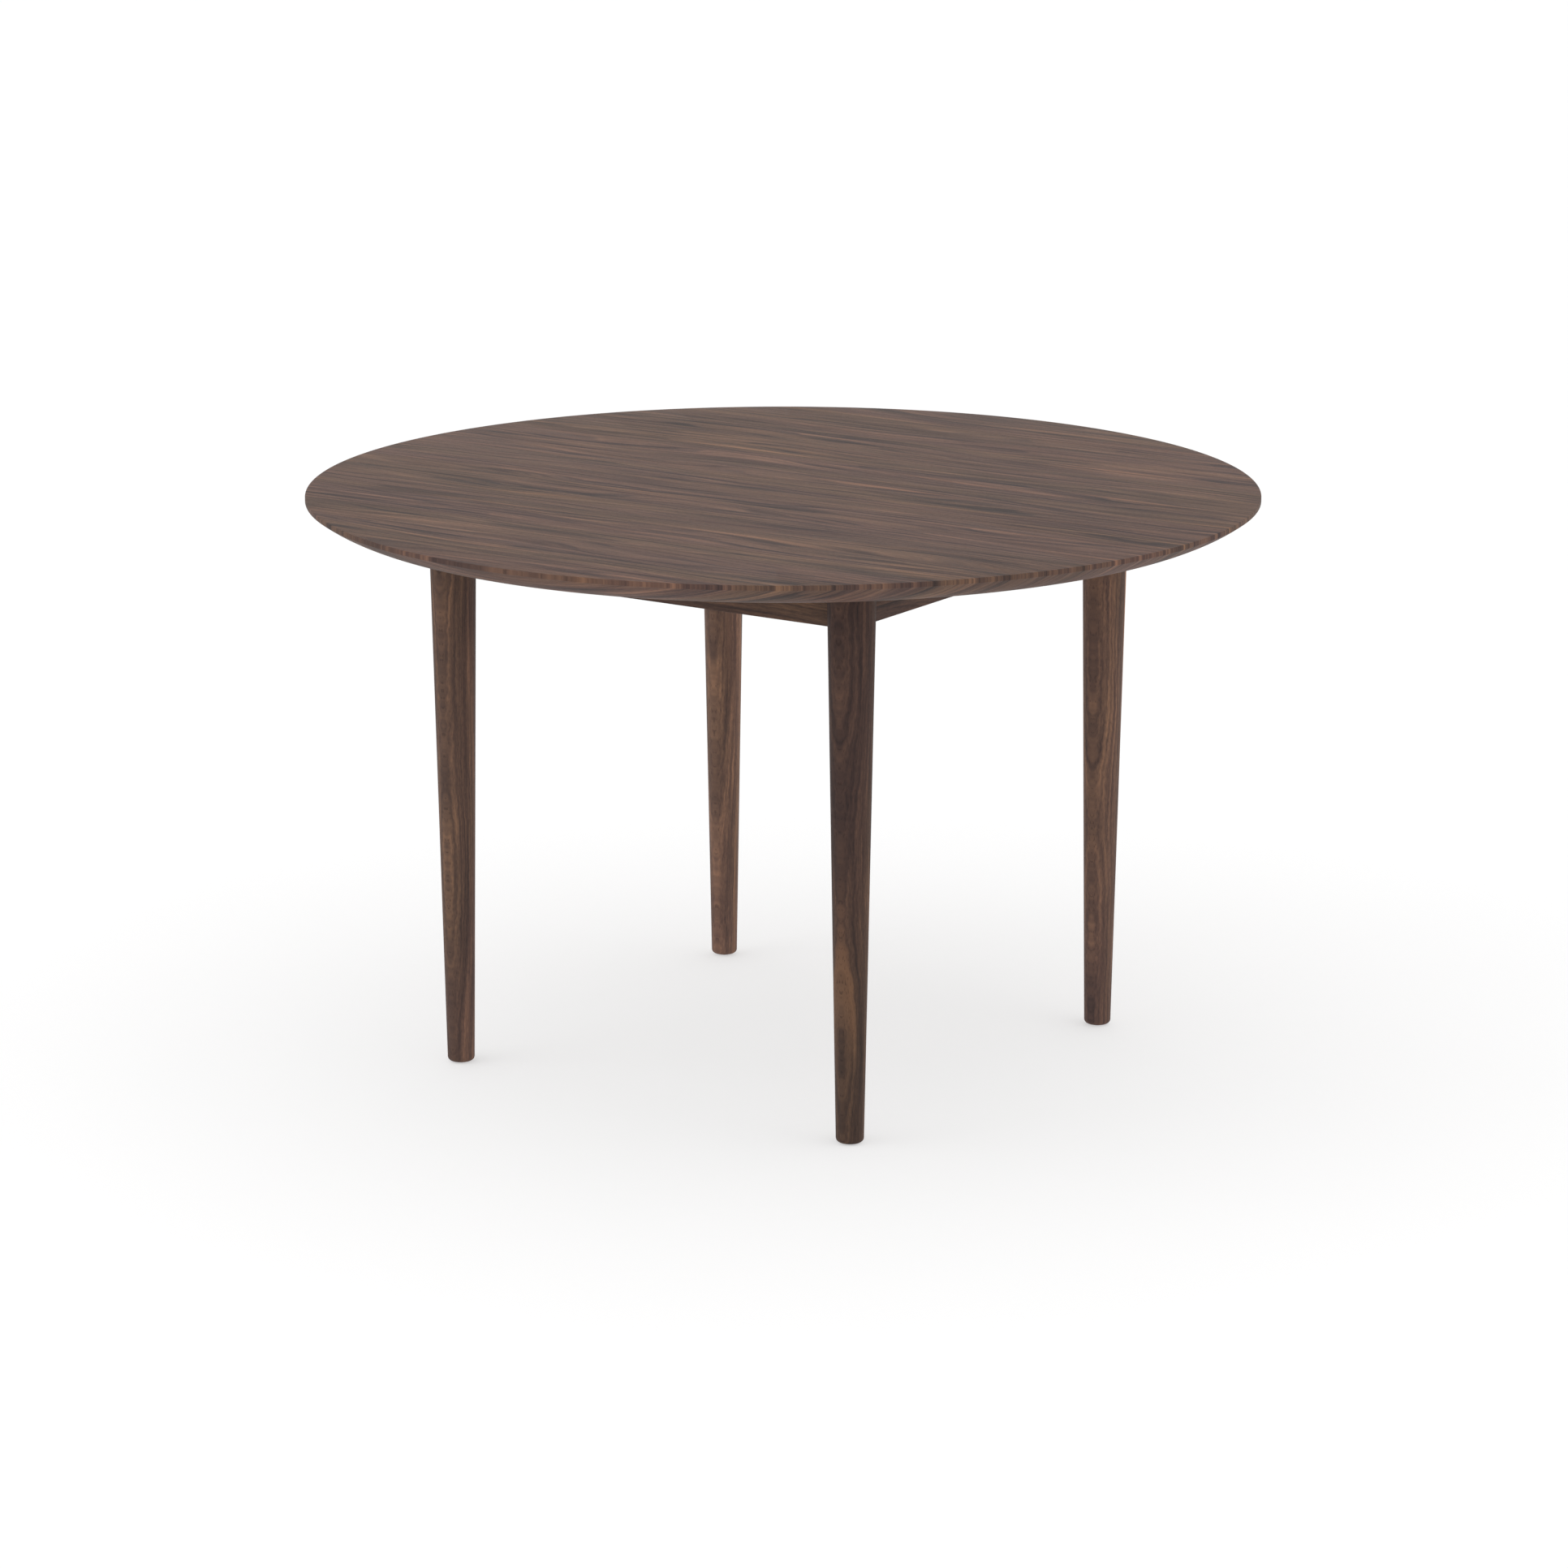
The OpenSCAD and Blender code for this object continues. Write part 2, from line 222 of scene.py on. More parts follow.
class TableFittings(bpy.types.PropertyGroup):
    """Sizes of the metal and nylon fittings."""

    plate_thickness: length("Plate thickness", "Thickness of a corner plate", 0.0025)
    flange_width: length("Flange width", "Length of a corner plate's flange along a rail", 0.030)
    bend_radius: length("Bend radius", "Radius of a bend at the middle of the sheet", 0.0030)
    bolt_diameter: length("Bolt diameter", "Diameter of a hanger bolt over its thread", 0.008)
    bolt_past_axis: length("Bolt past axis", "Length of a hanger bolt beyond the axis of its leg", 0.016)
    bolt_past_nut: length("Bolt past nut", "Length of a hanger bolt beyond its nut", 0.003)
    bolt_spacing: length("Bolt spacing", "Distance between the two bolts of a leg", 0.024)
    bolt_flat_cut: length("Bolt flat", "Depth of the flat on a leg where its bolts go in", 0.0045)
    machine_pitch: length("Machine pitch", "Pitch of the metal threads", 0.00125)
    wood_pitch: length("Wood pitch", "Pitch of the wood threads", 0.0028)
    washer_diameter: length("Washer diameter", "Outer diameter of a washer", 0.016)
    washer_thickness: length("Washer thickness", "Thickness of a washer", 0.0016)
    nut_width: length("Nut width", "Width of a nut across its flats", 0.013)
    nut_height: length("Nut height", "Height of a nut", 0.0065)
    plate_screw: length("Plate screw", "Shank diameter of a corner plate screw", 0.004)
    plate_screw_head: length("Plate screw head", "Height of the head of a corner plate screw", 0.0022)
    plate_screw_bite: length("Plate screw bite", "Length of a corner plate screw in the wood", 0.014)
    clip_thickness: length("Clip thickness", "Thickness of a clip", 0.002)
    clip_width: length("Clip width", "Width of a clip along its rail", 0.020)
    clip_foot: length("Clip foot", "Length of a clip's foot under the top", 0.024)
    clip_from_leg: length("Clip place", "Distance from the axis of a leg to the middle of a clip", 0.147)
    clip_screw: length("Clip screw", "Shank diameter of a clip screw", 0.0045)
    clip_screw_head: length("Clip screw head", "Height of the head of a clip screw", 0.0025)
    clip_screw_bite: length("Clip screw bite", "Length of a clip screw in the top", 0.016)
    groove_depth: length("Groove depth", "Depth of the groove in a rail for the clips", 0.008)
    key_width: length("Key width", "Width across the flats of the key socket in a glide", 0.004)
    key_depth: length("Key depth", "Depth of the key socket", 0.005)
    pad_floor: length("Pad floor", "Thickness of a pad under the flange of its stem", 0.0025)
    flange_thickness: length("Stem flange", "Thickness of the flange at the foot of a stem", 0.0022)
    close_fit: length("Close fit", "Room on each side of a sheet in its slot", 0.0002)
    clear_fit: length("Clear fit", "Room round a piece that passes through a hole", 0.0005)
    run_fit: length("Running fit", "Room round a piece that turns in its neighbour", 0.00005)


class TableColours(bpy.types.PropertyGroup):
    """Colours of the wood and the fittings."""

    dark_grain: colour("Dark grain", "Colour of the darkest growth lines", (0.038, 0.026, 0.024))
    brown_grain: colour("Brown grain", "Colour of the bands beside the dark lines", (0.068, 0.041, 0.034))
    heartwood: colour("Heartwood", "Main colour of the wood", (0.095, 0.055, 0.042))
    light_grain: colour("Light grain", "Colour of the lighter bands", (0.135, 0.076, 0.053))
    pale_grain: colour("Pale grain", "Colour of the palest fine lines", (0.215, 0.115, 0.072))
    sapwood: colour("Sapwood", "Colour of the thin pale sapwood streaks", (0.34, 0.17, 0.095))
    steel: colour("Steel", "Colour of the pressed steel fittings", (0.50, 0.50, 0.52))
    zinc: colour("Zinc", "Colour of the plated bolts and screws", (0.62, 0.60, 0.52))
    nylon: colour("Nylon", "Colour of the glide pads", (0.016, 0.016, 0.017))
    floor: colour("Floor", "Colour of the floor", (0.50, 0.50, 0.50))


class TableStage(bpy.types.PropertyGroup):
    """Camera and light."""

    azimuth: FloatProperty(name="Azimuth", description="Direction of the camera, from front to right",
                           default=math.radians(33.87), subtype="ANGLE")
    elevation: FloatProperty(name="Elevation", description="Height of the camera above the level",
                             default=math.radians(14.2), subtype="ANGLE")
    distance: length("Distance", "Distance from the camera to its aim", 6.25)
    aim: FloatVectorProperty(name="Aim", description="Point that the camera looks at", size=3,
                             default=(0.008, -0.010, 0.348), subtype="XYZ", unit="LENGTH")
    lens: FloatProperty(name="Lens", description="Focal length of the camera in millimetres", default=112.4,
                        min=10.0)
    floor_glow: FloatProperty(name="Floor glow", description="Strength of the light from the floor itself",
                              default=0.5, min=0.0)
    ambient: FloatProperty(name="Ambient light", description="Strength of the even light from all round",
                           default=1.0, min=0.0)
    key_power: FloatProperty(name="Key light", description="Power of the large soft light", default=18.0,
                             min=0.0, unit="POWER")
    fill_power: FloatProperty(name="Fill light", description="Power of the soft light from the other side",
                              default=8.0, min=0.0, unit="POWER")


# Mesh helpers

WELD = 1e-7
# angles in degrees over which an edge is sharp
PIECE_SMOOTH = 35.0
PLATE_SMOOTH = 40.0
STAVE_SMOOTH = 20.0


def mesh_piece(name, bm, materials, smooth_angle=PIECE_SMOOTH):
    """Turns a bmesh into an object at the origin, smooth except over its edges."""
    mesh = bpy.data.meshes.new(name)
    bmesh.ops.remove_doubles(bm, verts=bm.verts, dist=WELD)
    bmesh.ops.recalc_face_normals(bm, faces=bm.faces)
    bm.to_mesh(mesh)
    bm.free()
    mesh.polygons.foreach_set("use_smooth", [True] * len(mesh.polygons))
    mesh.set_sharp_from_angle(angle=math.radians(smooth_angle))
    for material in materials:
        mesh.materials.append(material)
    piece = bpy.data.objects.new(name, mesh)
    bpy.context.scene.collection.objects.link(piece)
    return piece


def arc(centre, radius, start, end, steps):
    """Points along an arc in a plane, angles in degrees, both ends included."""
    points = []
    for k in range(steps + 1):
        a = math.radians(start + (end - start) * k / steps)
        points.append((centre[0] + radius * math.cos(a), centre[1] + radius * math.sin(a)))
    return points


def turned(outline, steps):
    """A bmesh of an outline of (radius, height) points turned round the Z axis."""
    bm = bmesh.new()
    rings = []
    for r, z in outline:
        if r == 0:
            rings.append([bm.verts.new((0.0, 0.0, z))])
        else:
            rings.append([bm.verts.new(point) for point in ring_at(r, z, steps)])
    for low, high in zip(rings, rings[1:]):
        for k in range(steps):
            j = (k + 1) % steps
            corners = [low[k % len(low)], low[j % len(low)], high[j % len(high)], high[k % len(high)]]
            face = list(dict.fromkeys(corners))
            if len(face) > 2:
                bm.faces.new(face)
    return bm


def ring_at(radius, height, steps):
    """Points of a ring round the Z axis; radius is a number or a function of the turn, from 0 to 1."""
    points = []
    for k in range(steps):
        turn = k / steps
        r = radius(turn) if callable(radius) else radius
        points.append((r * math.cos(2 * math.pi * turn), r * math.sin(2 * math.pi * turn), height))
    return points


def thread_rings(low, high, crest, thread, pitch, steps, limit=None):
    """Rings that carry a helical thread from low to high. thread is its depth and its rings in each turn,
    and limit(height) caps the radius towards an end."""
    depth, rings_per_turn = thread
    rings = []
    count = max(2, round((high - low) / pitch * rings_per_turn))
    for k in range(count + 1):
        z = low + (high - low) * k / count

        def radius(turn, z=z):
            wave = abs(2 * ((z / pitch - turn) % 1.0) - 1)
            r = crest - depth * wave
            return min(r, limit(z)) if limit else r

        rings.append(ring_at(radius, z, steps))
    return rings


def skin(rings, closed=False):
    """A bmesh over a stack of rings; its ends are capped, or joined to each other if it is closed."""
    bm = bmesh.new()
    made = [[bm.verts.new(point) for point in ring] for ring in rings]
    pairs = list(zip(made, made[1:]))
    if closed:
        pairs.append((made[-1], made[0]))
    for low, high in pairs:
        for k in range(len(low)):
            j = (k + 1) % len(low)
            bm.faces.new((low[k], low[j], high[j], high[k]))
    if not closed:
        bm.faces.new(list(reversed(made[0])))
        bm.faces.new(made[-1])
    return bm


def bent_strip(path, thickness, bend):
    """Outline of a strip of sheet along a path of (a, b) points, with round bends at its corners."""
    line = []
    for k, point in enumerate(path):
        here = Vector(point)
        if k in (0, len(path) - 1):
            step = Vector(path[1]) - here if k == 0 else here - Vector(path[-2])
            line.append((here, Vector((-step.y, step.x)).normalized()))
            continue
        before = (here - Vector(path[k - 1])).normalized()
        after = (Vector(path[k + 1]) - here).normalized()
        turn = before.angle_signed(after)
        side = -1 if turn > 0 else 1
        start = here - before * bend * math.tan(abs(turn) / 2)
        centre = start + Vector((-before.y, before.x)) * bend * side
        for j in range(BEND_STEPS + 1):
            out = Matrix.Rotation(-turn * j / BEND_STEPS, 2) @ Vector((-before.y, before.x))
            line.append((centre - out * bend * side, out))
    left = [tuple(p + n * thickness / 2) for p, n in line]
    right = [tuple(p - n * thickness / 2) for p, n in reversed(line)]
    return left + right


def extruded(outline, place, depth):
    """A bmesh of a closed flat outline pushed through depth; place maps (a, b, depth) to a point."""
    bm = bmesh.new()
    near = [bm.verts.new(place(a, b, 0.0)) for a, b in outline]
    far = [bm.verts.new(place(a, b, depth)) for a, b in outline]
    bm.faces.new(near)
    bm.faces.new(list(reversed(far)))
    for k in range(len(outline)):
        j = (k + 1) % len(outline)
        bm.faces.new((near[k], far[k], far[j], near[j]))
    return bm


def block(low, high, turn=None):
    """A bmesh box between two corners, turned by a matrix if one is given."""
    bm = bmesh.new()
    bmesh.ops.create_cube(bm, size=1.0)
    size = Vector(high) - Vector(low)
    middle = (Vector(high) + Vector(low)) / 2
    stretch = Matrix.Diagonal((*size, 1.0))
    bmesh.ops.transform(bm, matrix=Matrix.Translation(middle) @ stretch, verts=bm.verts)
    if turn is not None:
        bmesh.ops.transform(bm, matrix=turn, verts=bm.verts)
    return bm


def drill(radius, start, direction, depth, steps=HOLE_STEPS):
    """A bmesh cylinder from start along direction, to cut a round hole with."""
    bm = bmesh.new()
    bmesh.ops.create_cone(bm, cap_ends=True, segments=steps, radius1=radius, radius2=radius, depth=depth)
    turn = Vector(direction).to_track_quat("Z", "Y").to_matrix().to_4x4()
    place = Matrix.Translation(Vector(start)) @ turn @ Matrix.Translation((0, 0, depth / 2))
    bmesh.ops.transform(bm, matrix=place, verts=bm.verts)
    return bm


def cut(bm, cutters):
    """Cuts every cutter from a bmesh with an exact boolean and returns the result."""
    body = mesh_piece("cut_body", bm, [])
    tools = [mesh_piece("cut_tool", tool, []) for tool in cutters]
    for tool in tools:
        modifier = body.modifiers.new("cut", "BOOLEAN")
        modifier.operation = "DIFFERENCE"
        modifier.solver = "EXACT"
        modifier.object = tool
    result = bmesh.new()
    evaluated = body.evaluated_get(bpy.context.evaluated_depsgraph_get())
    result.from_mesh(evaluated.to_mesh())
    evaluated.to_mesh_clear()
    for scrap in [body, *tools]:
        mesh = scrap.data
        bpy.data.objects.remove(scrap)
        bpy.data.meshes.remove(mesh)
    return result


def bored(outline, steps):
    """A bmesh of a closed outline of (radius, height) points, clear of the axis, turned round the Z axis."""
    return skin([ring_at(r, z, steps) for r, z in outline], closed=True)


def repeat_tree():
    """Geometry nodes that set a pattern in a row and repeat the row at each corner round the Z axis."""
    name = "repeat_round_frame"
    if name in bpy.data.node_groups:
        return bpy.data.node_groups[name]
    tree = bpy.data.node_groups.new(name, "GeometryNodeTree")
    for label, kind in (("Pattern", "Object"), ("Finish", "Material"), ("Row Count", "Int"),
                        ("Row Start", "Vector"), ("Row Step", "Vector"), ("Turn", "Rotation"),
                        ("Corners", "Int")):
        tree.interface.new_socket(name=label, in_out="INPUT", socket_type="NodeSocket" + kind)
    tree.interface.new_socket(name="Geometry", in_out="OUTPUT", socket_type="NodeSocketGeometry")
    b = NodeBench(tree)
    given = b.add("NodeGroupInput").outputs
    pattern = b.add("GeometryNodeObjectInfo", {"Object": given["Pattern"]}).outputs["Geometry"]
    row = b.add("GeometryNodeMeshLine", {"Count": given["Row Count"], "Start Location": given["Row Start"],
                                         "Offset": given["Row Step"]}, mode="OFFSET").outputs["Mesh"]
    one = b.add("GeometryNodeInstanceOnPoints", {"Points": row, "Instance": pattern,
                                                 "Rotation": given["Turn"]}).outputs["Instances"]
    stack = b.add("GeometryNodeMeshLine", {"Count": given["Corners"], "Offset": (0.0, 0.0, 0.0)},
                  mode="OFFSET").outputs["Mesh"]
    part = b.math("DIVIDE", b.add("GeometryNodeInputIndex").outputs[0], given["Corners"])
    turn = b.add("ShaderNodeCombineXYZ", {2: b.math("MULTIPLY", part, 2 * math.pi)}).outputs[0]
    spin = b.add("FunctionNodeEulerToRotation", {"Euler": turn}).outputs[0]
    every = b.add("GeometryNodeInstanceOnPoints", {"Points": stack, "Instance": one,
                                                   "Rotation": spin}).outputs["Instances"]
    real = b.add("GeometryNodeRealizeInstances", {"Geometry": every}).outputs["Geometry"]
    done = b.add("GeometryNodeSetMaterial", {"Geometry": real, "Material": given["Finish"]})
    b.add("NodeGroupOutput", {"Geometry": done.outputs["Geometry"]})
    return tree


def repeated(name, pattern, finish, rows):
    """A mesh piece of a pattern set in rows at the four corners; a row is (start, step, count, turn)."""
    tree = repeat_tree()
    sockets = {item.name: item.identifier for item in tree.interface.items_tree if item.in_out == "INPUT"}
    original = mesh_piece(name + "_pattern", pattern, [])
    whole = bmesh.new()
    for start, step, count, turn in rows:
        host = mesh_piece(name + "_row", bmesh.new(), [])
        modifier = host.modifiers.new("repeat", "NODES")
        modifier.node_group = tree
        for label, value in (("Pattern", original), ("Finish", finish), ("Row Count", count),
                             ("Row Start", start), ("Row Step", step), ("Turn", turn),
                             ("Corners", len(CORNERS))):
            modifier[sockets[label]] = value
        evaluated = host.evaluated_get(bpy.context.evaluated_depsgraph_get())
        mesh = bpy.data.meshes.new_from_object(evaluated)
        whole.from_mesh(mesh)
        bpy.data.objects.remove(host)
        bpy.data.meshes.remove(mesh)
    bpy.data.objects.remove(original)
    return mesh_piece(name, whole, [finish])


def corner_turn(corner):
    """Moves a piece modelled round a leg's axis, with the outward corner at +X +Y, to its corner."""
    quarter = CORNERS.index(corner) * math.pi / 2
    offset = Matrix.Translation((LEG_HALF_SPAN, LEG_HALF_SPAN, 0.0))
    return Matrix.Rotation(quarter, 4, "Z") @ offset


def side_turn(side):
    """Turns a piece modelled for the right-hand rail to its side."""
    return Matrix.Rotation(SIDES.index(side) * math.pi / 2, 4, "Z")


def fit_piece(piece, node, body="table"):
    """Lets a finished piece take the place of its node on a body."""
    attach(piece, body)
    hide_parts(node)


# Material helpers

class NodeBench:
    """Adds and links nodes with short calls; a value is a number, a vector or another node's output."""

    def __init__(self, tree):
        self.tree = tree

    def add(self, kind, inputs=(), **settings):
        """A new node with its settings made and its inputs filled."""
        node = self.tree.nodes.new(kind)
        for key, value in settings.items():
            setattr(node, key, value)
        for key, value in dict(inputs).items():
            self.put(node.inputs[key], value)
        return node

    def put(self, socket, value):
        """Links a node's output to a socket, or sets the socket to a value."""
        if isinstance(value, bpy.types.NodeSocket):
            self.tree.links.new(value, socket)
        else:
            socket.default_value = value

    def math(self, operation, a, b=0.0):
        return self.add("ShaderNodeMath", {0: a, 1: b}, operation=operation).outputs[0]

    def total(self, start, *parts):
        """start and, for each (value, weight), the value's distance from a half times its weight."""
        for value, weight in parts:
            start = self.math("ADD", start, self.math("MULTIPLY", self.math("SUBTRACT", value, 0.5), weight))
        return start

    def noise(self, vector, seed, detail=2.0, roughness=0.5):
        """Noise at the scale of its vector; the seed moves it to another place."""
        node = self.add("ShaderNodeTexNoise", {"Vector": vector, "W": seed, "Scale": 1.0, "Detail": detail,
                        "Roughness": roughness}, noise_dimensions="4D")
        return node.outputs["Fac"]

    def scaled(self, vector, scale):
        return self.add("ShaderNodeVectorMath", {0: vector, 1: scale}, operation="MULTIPLY").outputs[0]

    def step(self, value, low, high, top=1.0):
        """Goes smoothly from 0 at low to top at high."""
        node = self.add("ShaderNodeMapRange", {"Value": value, "From Min": low, "From Max": high,
                        "To Min": 0.0, "To Max": top}, interpolation_type="SMOOTHSTEP")
        return node.outputs[0]

    def remap(self, value, low, high, new_low, new_high):
        """Goes evenly from new_low at low to new_high at high."""
        node = self.add("ShaderNodeMapRange", {"Value": value, "From Min": low, "From Max": high,
                        "To Min": new_low, "To Max": new_high})
        return node.outputs[0]

    def mix(self, factor, a, b, blend="MIX"):
        node = self.add("ShaderNodeMix", {0: factor, 6: a, 7: b}, data_type="RGBA", blend_type=blend)
        return node.outputs[2]


def rgba(value):
    """A colour of three values as an opaque one of four."""
    return (*value, 1.0)


def new_material(name):
    """An empty node material and its bench and principled shader."""
    material = bpy.data.materials.new(name)
    material.use_nodes = True
    bench = NodeBench(material.node_tree)
    shader = material.node_tree.nodes["Principled BSDF"]
    return material, bench, shader


# what shapes the figure of a board, in metres: the swell and the ripple of its layers, each with its
# lengths along and across the grain and its depth; the width of a growth ring, and how many rings it
# sways; and how dark the lines are, as a share
Figure = namedtuple("Figure", "swell swell_depth ripple ripple_depth ring ring_sway line")
PLANED = Figure(swell=(0.50, 0.080), swell_depth=0.070, ripple=(0.10, 0.030), ripple_depth=0.0040,
                ring=0.012, ring_sway=1.4, line=0.37)
FLAT_SAWN = Figure(swell=(0.58, 0.064), swell_depth=0.080, ripple=(0.10, 0.030), ripple_depth=0.0040,
                   ring=0.015, ring_sway=2.6, line=0.37)
TURNED = Figure(swell=(0.34, 0.110), swell_depth=0.034, ripple=(0.022, 0.040), ripple_depth=0.0036,
                ring=0.0045, ring_sway=0.8, line=0.17)

# streaks in the wood: (length along the grain, width across it), seed, finer octaves, strength of an octave
STREAKS = {
    "broad": ((0.90, 0.046), 3.0, 2.0, 0.5),
    "medium": ((0.52, 0.016), 5.0, 2.0, 0.62),
    "fine": ((0.27, 0.0064), 7.0, 2.0, 0.65),
    "hair": ((0.070, 0.0016), 9.0, 1.0, 0.5),
    "sapwood": ((0.50, 0.0125), 11.0, 1.0, 0.5),
    "sway": ((0.34, 0.034), 13.0, 2.0, 0.5),
    "hue": ((0.80, 0.060), 15.0, 3.0, 0.5),
    "fleck": ((0.0085, 0.0011), 17.0, 1.0, 0.5),
    "line": ((0.42, 0.030), 19.0, 1.0, 0.5),
    "pore": ((0.0060, 0.00034), 23.0, 1.0, 0.5),
}
SWELL_SEED = 0.0
RIPPLE_SEED = 2.0
# share of each kind of streak in the tone, which runs from 0 for dark to 1 for pale
MEAN_TONE = 0.595
TONE_SHARES = {"broad": 0.28, "medium": 1.00, "fine": 1.28, "hair": 0.68, "fleck": 0.50}
# within a growth ring, from 0 to 1: where its dark line comes on, and where it ends
LINE_ON = (0.35, 0.84)
LINE_OFF = (0.86, 0.97)
# values of the noise between which an effect comes on, from nothing to all of it
LINE_RANGE = (0.36, 0.62)
SAPWOOD_RANGE = (0.60, 0.78)
HUE_RANGE = (0.36, 0.64)
PORE_RANGE = (0.42, 0.33)
FINE_RANGE = (0.3, 0.7)
SAPWOOD_SHARE = 0.62
REDDER = (1.015, 0.985, 1.035, 1.0)
YELLOWER = (0.995, 1.015, 0.955, 1.0)
PORE_SHARE = 0.40
PORE_ROUGHNESS = 0.15
WOOD_ROUGHNESS = (0.66, 0.58)
WOOD_SPECULAR = 0.15
HAIR_RELIEF = 0.35
WOOD_BUMP = {"Strength": 0.12, "Distance": 0.0004}


def walnut(name, colours, along, across, figure, seed=0.0, darken=0.0, sap_band=None):
    """Oiled walnut. along and across are unit axes in object space: the way the grain runs, and the way
    the growth layers lie one on another. The colour is the same through the whole thickness, so the lines
    on a face run on round its edges."""
    material, b, shader = new_material(name)
    place = b.add("ShaderNodeTexCoord").outputs["Object"]
    u = b.add("ShaderNodeVectorMath", {0: place, 1: along}, operation="DOT_PRODUCT").outputs["Value"]
    v = b.add("ShaderNodeVectorMath", {0: place, 1: across}, operation="DOT_PRODUCT").outputs["Value"]

    def streaks(depth, size, place_seed, detail=1.0, roughness=0.5):
        long, wide = size
        flow = b.add("ShaderNodeCombineXYZ",
                     {0: b.math("DIVIDE", u, long), 1: b.math("DIVIDE", depth, wide)})
        return b.noise(flow.outputs[0], seed + place_seed, detail=detail, roughness=roughness)

    # the growth layers swell and ripple; where they swell most, their lines close into ovals
    swell = streaks(v, figure.swell, SWELL_SEED)
    ripple = streaks(v, figure.ripple, RIPPLE_SEED, detail=2.0)
    w = b.total(v, (swell, figure.swell_depth), (ripple, figure.ripple_depth))

    # streaks follow the layers, from broad bands to hair-fine lines; flecks and pores are straight dashes
    straight = ("fleck", "pore")
    streak = {kind: streaks(v if kind in straight else w, *look) for kind, look in STREAKS.items()}

    # late wood: a dark line that comes on slowly and ends sharply, once for each growth ring
    sway = b.math("MULTIPLY", streak["sway"], 2 * figure.ring_sway)
    phase = b.math("FRACT", b.math("ADD", b.math("DIVIDE", w, figure.ring), sway))
    late = b.math("MULTIPLY", b.step(phase, *LINE_ON), b.math("SUBTRACT", 1.0, b.step(phase, *LINE_OFF)))
    weight = b.step(streak["line"], *LINE_RANGE, figure.line)

    tone = b.total(MEAN_TONE, *((streak[kind], share) for kind, share in TONE_SHARES.items()))
    tone = b.math("SUBTRACT", tone, b.math("MULTIPLY", late, weight))
    ramp = b.add("ShaderNodeValToRGB", {"Fac": tone})
    stops = ((0.10, colours.dark_grain), (0.32, colours.brown_grain), (0.52, colours.heartwood),
             (0.72, colours.light_grain), (0.96, colours.pale_grain))
    elements = ramp.color_ramp.elements
    while len(elements) < len(stops):
        elements.new(0.5)
    for element, (position, tint) in zip(elements, stops):
        element.position = position
        element.color = rgba(tint)
    sapwood = b.step(streak["sapwood"], *SAPWOOD_RANGE, SAPWOOD_SHARE)
    wood = b.mix(sapwood, ramp.outputs["Color"], rgba(colours.sapwood))
    wood = b.mix(1.0, wood, b.mix(b.step(streak["hue"], *HUE_RANGE), REDDER, YELLOWER), "MULTIPLY")
    # open pores: short dark dashes that also catch the light
    pore = b.step(streak["pore"], *PORE_RANGE)
    wood = b.mix(b.math("MULTIPLY", pore, PORE_SHARE), wood, rgba(colours.dark_grain))
    wood = b.add("ShaderNodeHueSaturation", {"Color": wood, "Value": 1.0 - darken}).outputs[0]
    if sap_band:
        start, wide, lean, soft = sap_band
        depth = b.math("SUBTRACT", b.math("ADD", v, b.math("MULTIPLY", u, lean)), start)
        depth = b.total(depth, (streak["fine"], 2 * soft))
        inside = b.math("SUBTRACT", b.step(depth, 0.0, soft), b.step(depth, wide, wide + soft))
        wood = b.mix(inside, wood, rgba(colours.sapwood))
    b.put(shader.inputs["Base Color"], wood)

    roughness = b.remap(streak["fine"], *FINE_RANGE, *WOOD_ROUGHNESS)
    b.put(shader.inputs["Roughness"], b.math("ADD", roughness, b.math("MULTIPLY", pore, PORE_ROUGHNESS)))
    relief = b.math("SUBTRACT", b.math("MULTIPLY", streak["hair"], HAIR_RELIEF), pore)
    bump = b.add("ShaderNodeBump", {**WOOD_BUMP, "Height": relief})
    b.put(shader.inputs["Normal"], bump.outputs[0])
    shader.inputs["Specular IOR Level"].default_value = WOOD_SPECULAR
    return material


# metal and nylon: scales of the noise, per metre
BRUSH_SCALE = 2200.0
ZINC_SCALE = 1800.0
STAIN_SCALE = 60.0
MOULD_SCALE = 2600.0
SCUFF_SCALE = 180.0
BRUSH_STRETCH = 0.04
# values of the noise that count as low and high, and those between which stains and scuffs come on
NOISE_RANGE = (0.3, 0.7)
STAIN_RANGE = (0.35, 0.70)
SCUFF_RANGE = (0.45, 0.75)
STAIN_SHARE = 0.35
SCUFF_SHARE = 0.6
STAIN_TINT = 0.72
SCUFF_TINT = 2.2
# least and most roughness
PLATE_ROUGHNESS = (0.34, 0.52)
CLIP_ROUGHNESS = (0.32, 0.50)
ZINC_ROUGHNESS = (0.26, 0.44)
NYLON_ROUGHNESS = (0.48, 0.62)
METAL_BUMP = {"Strength": 0.15, "Distance": 0.0001}
NYLON_BUMP = {"Strength": 0.25, "Distance": 0.0001}


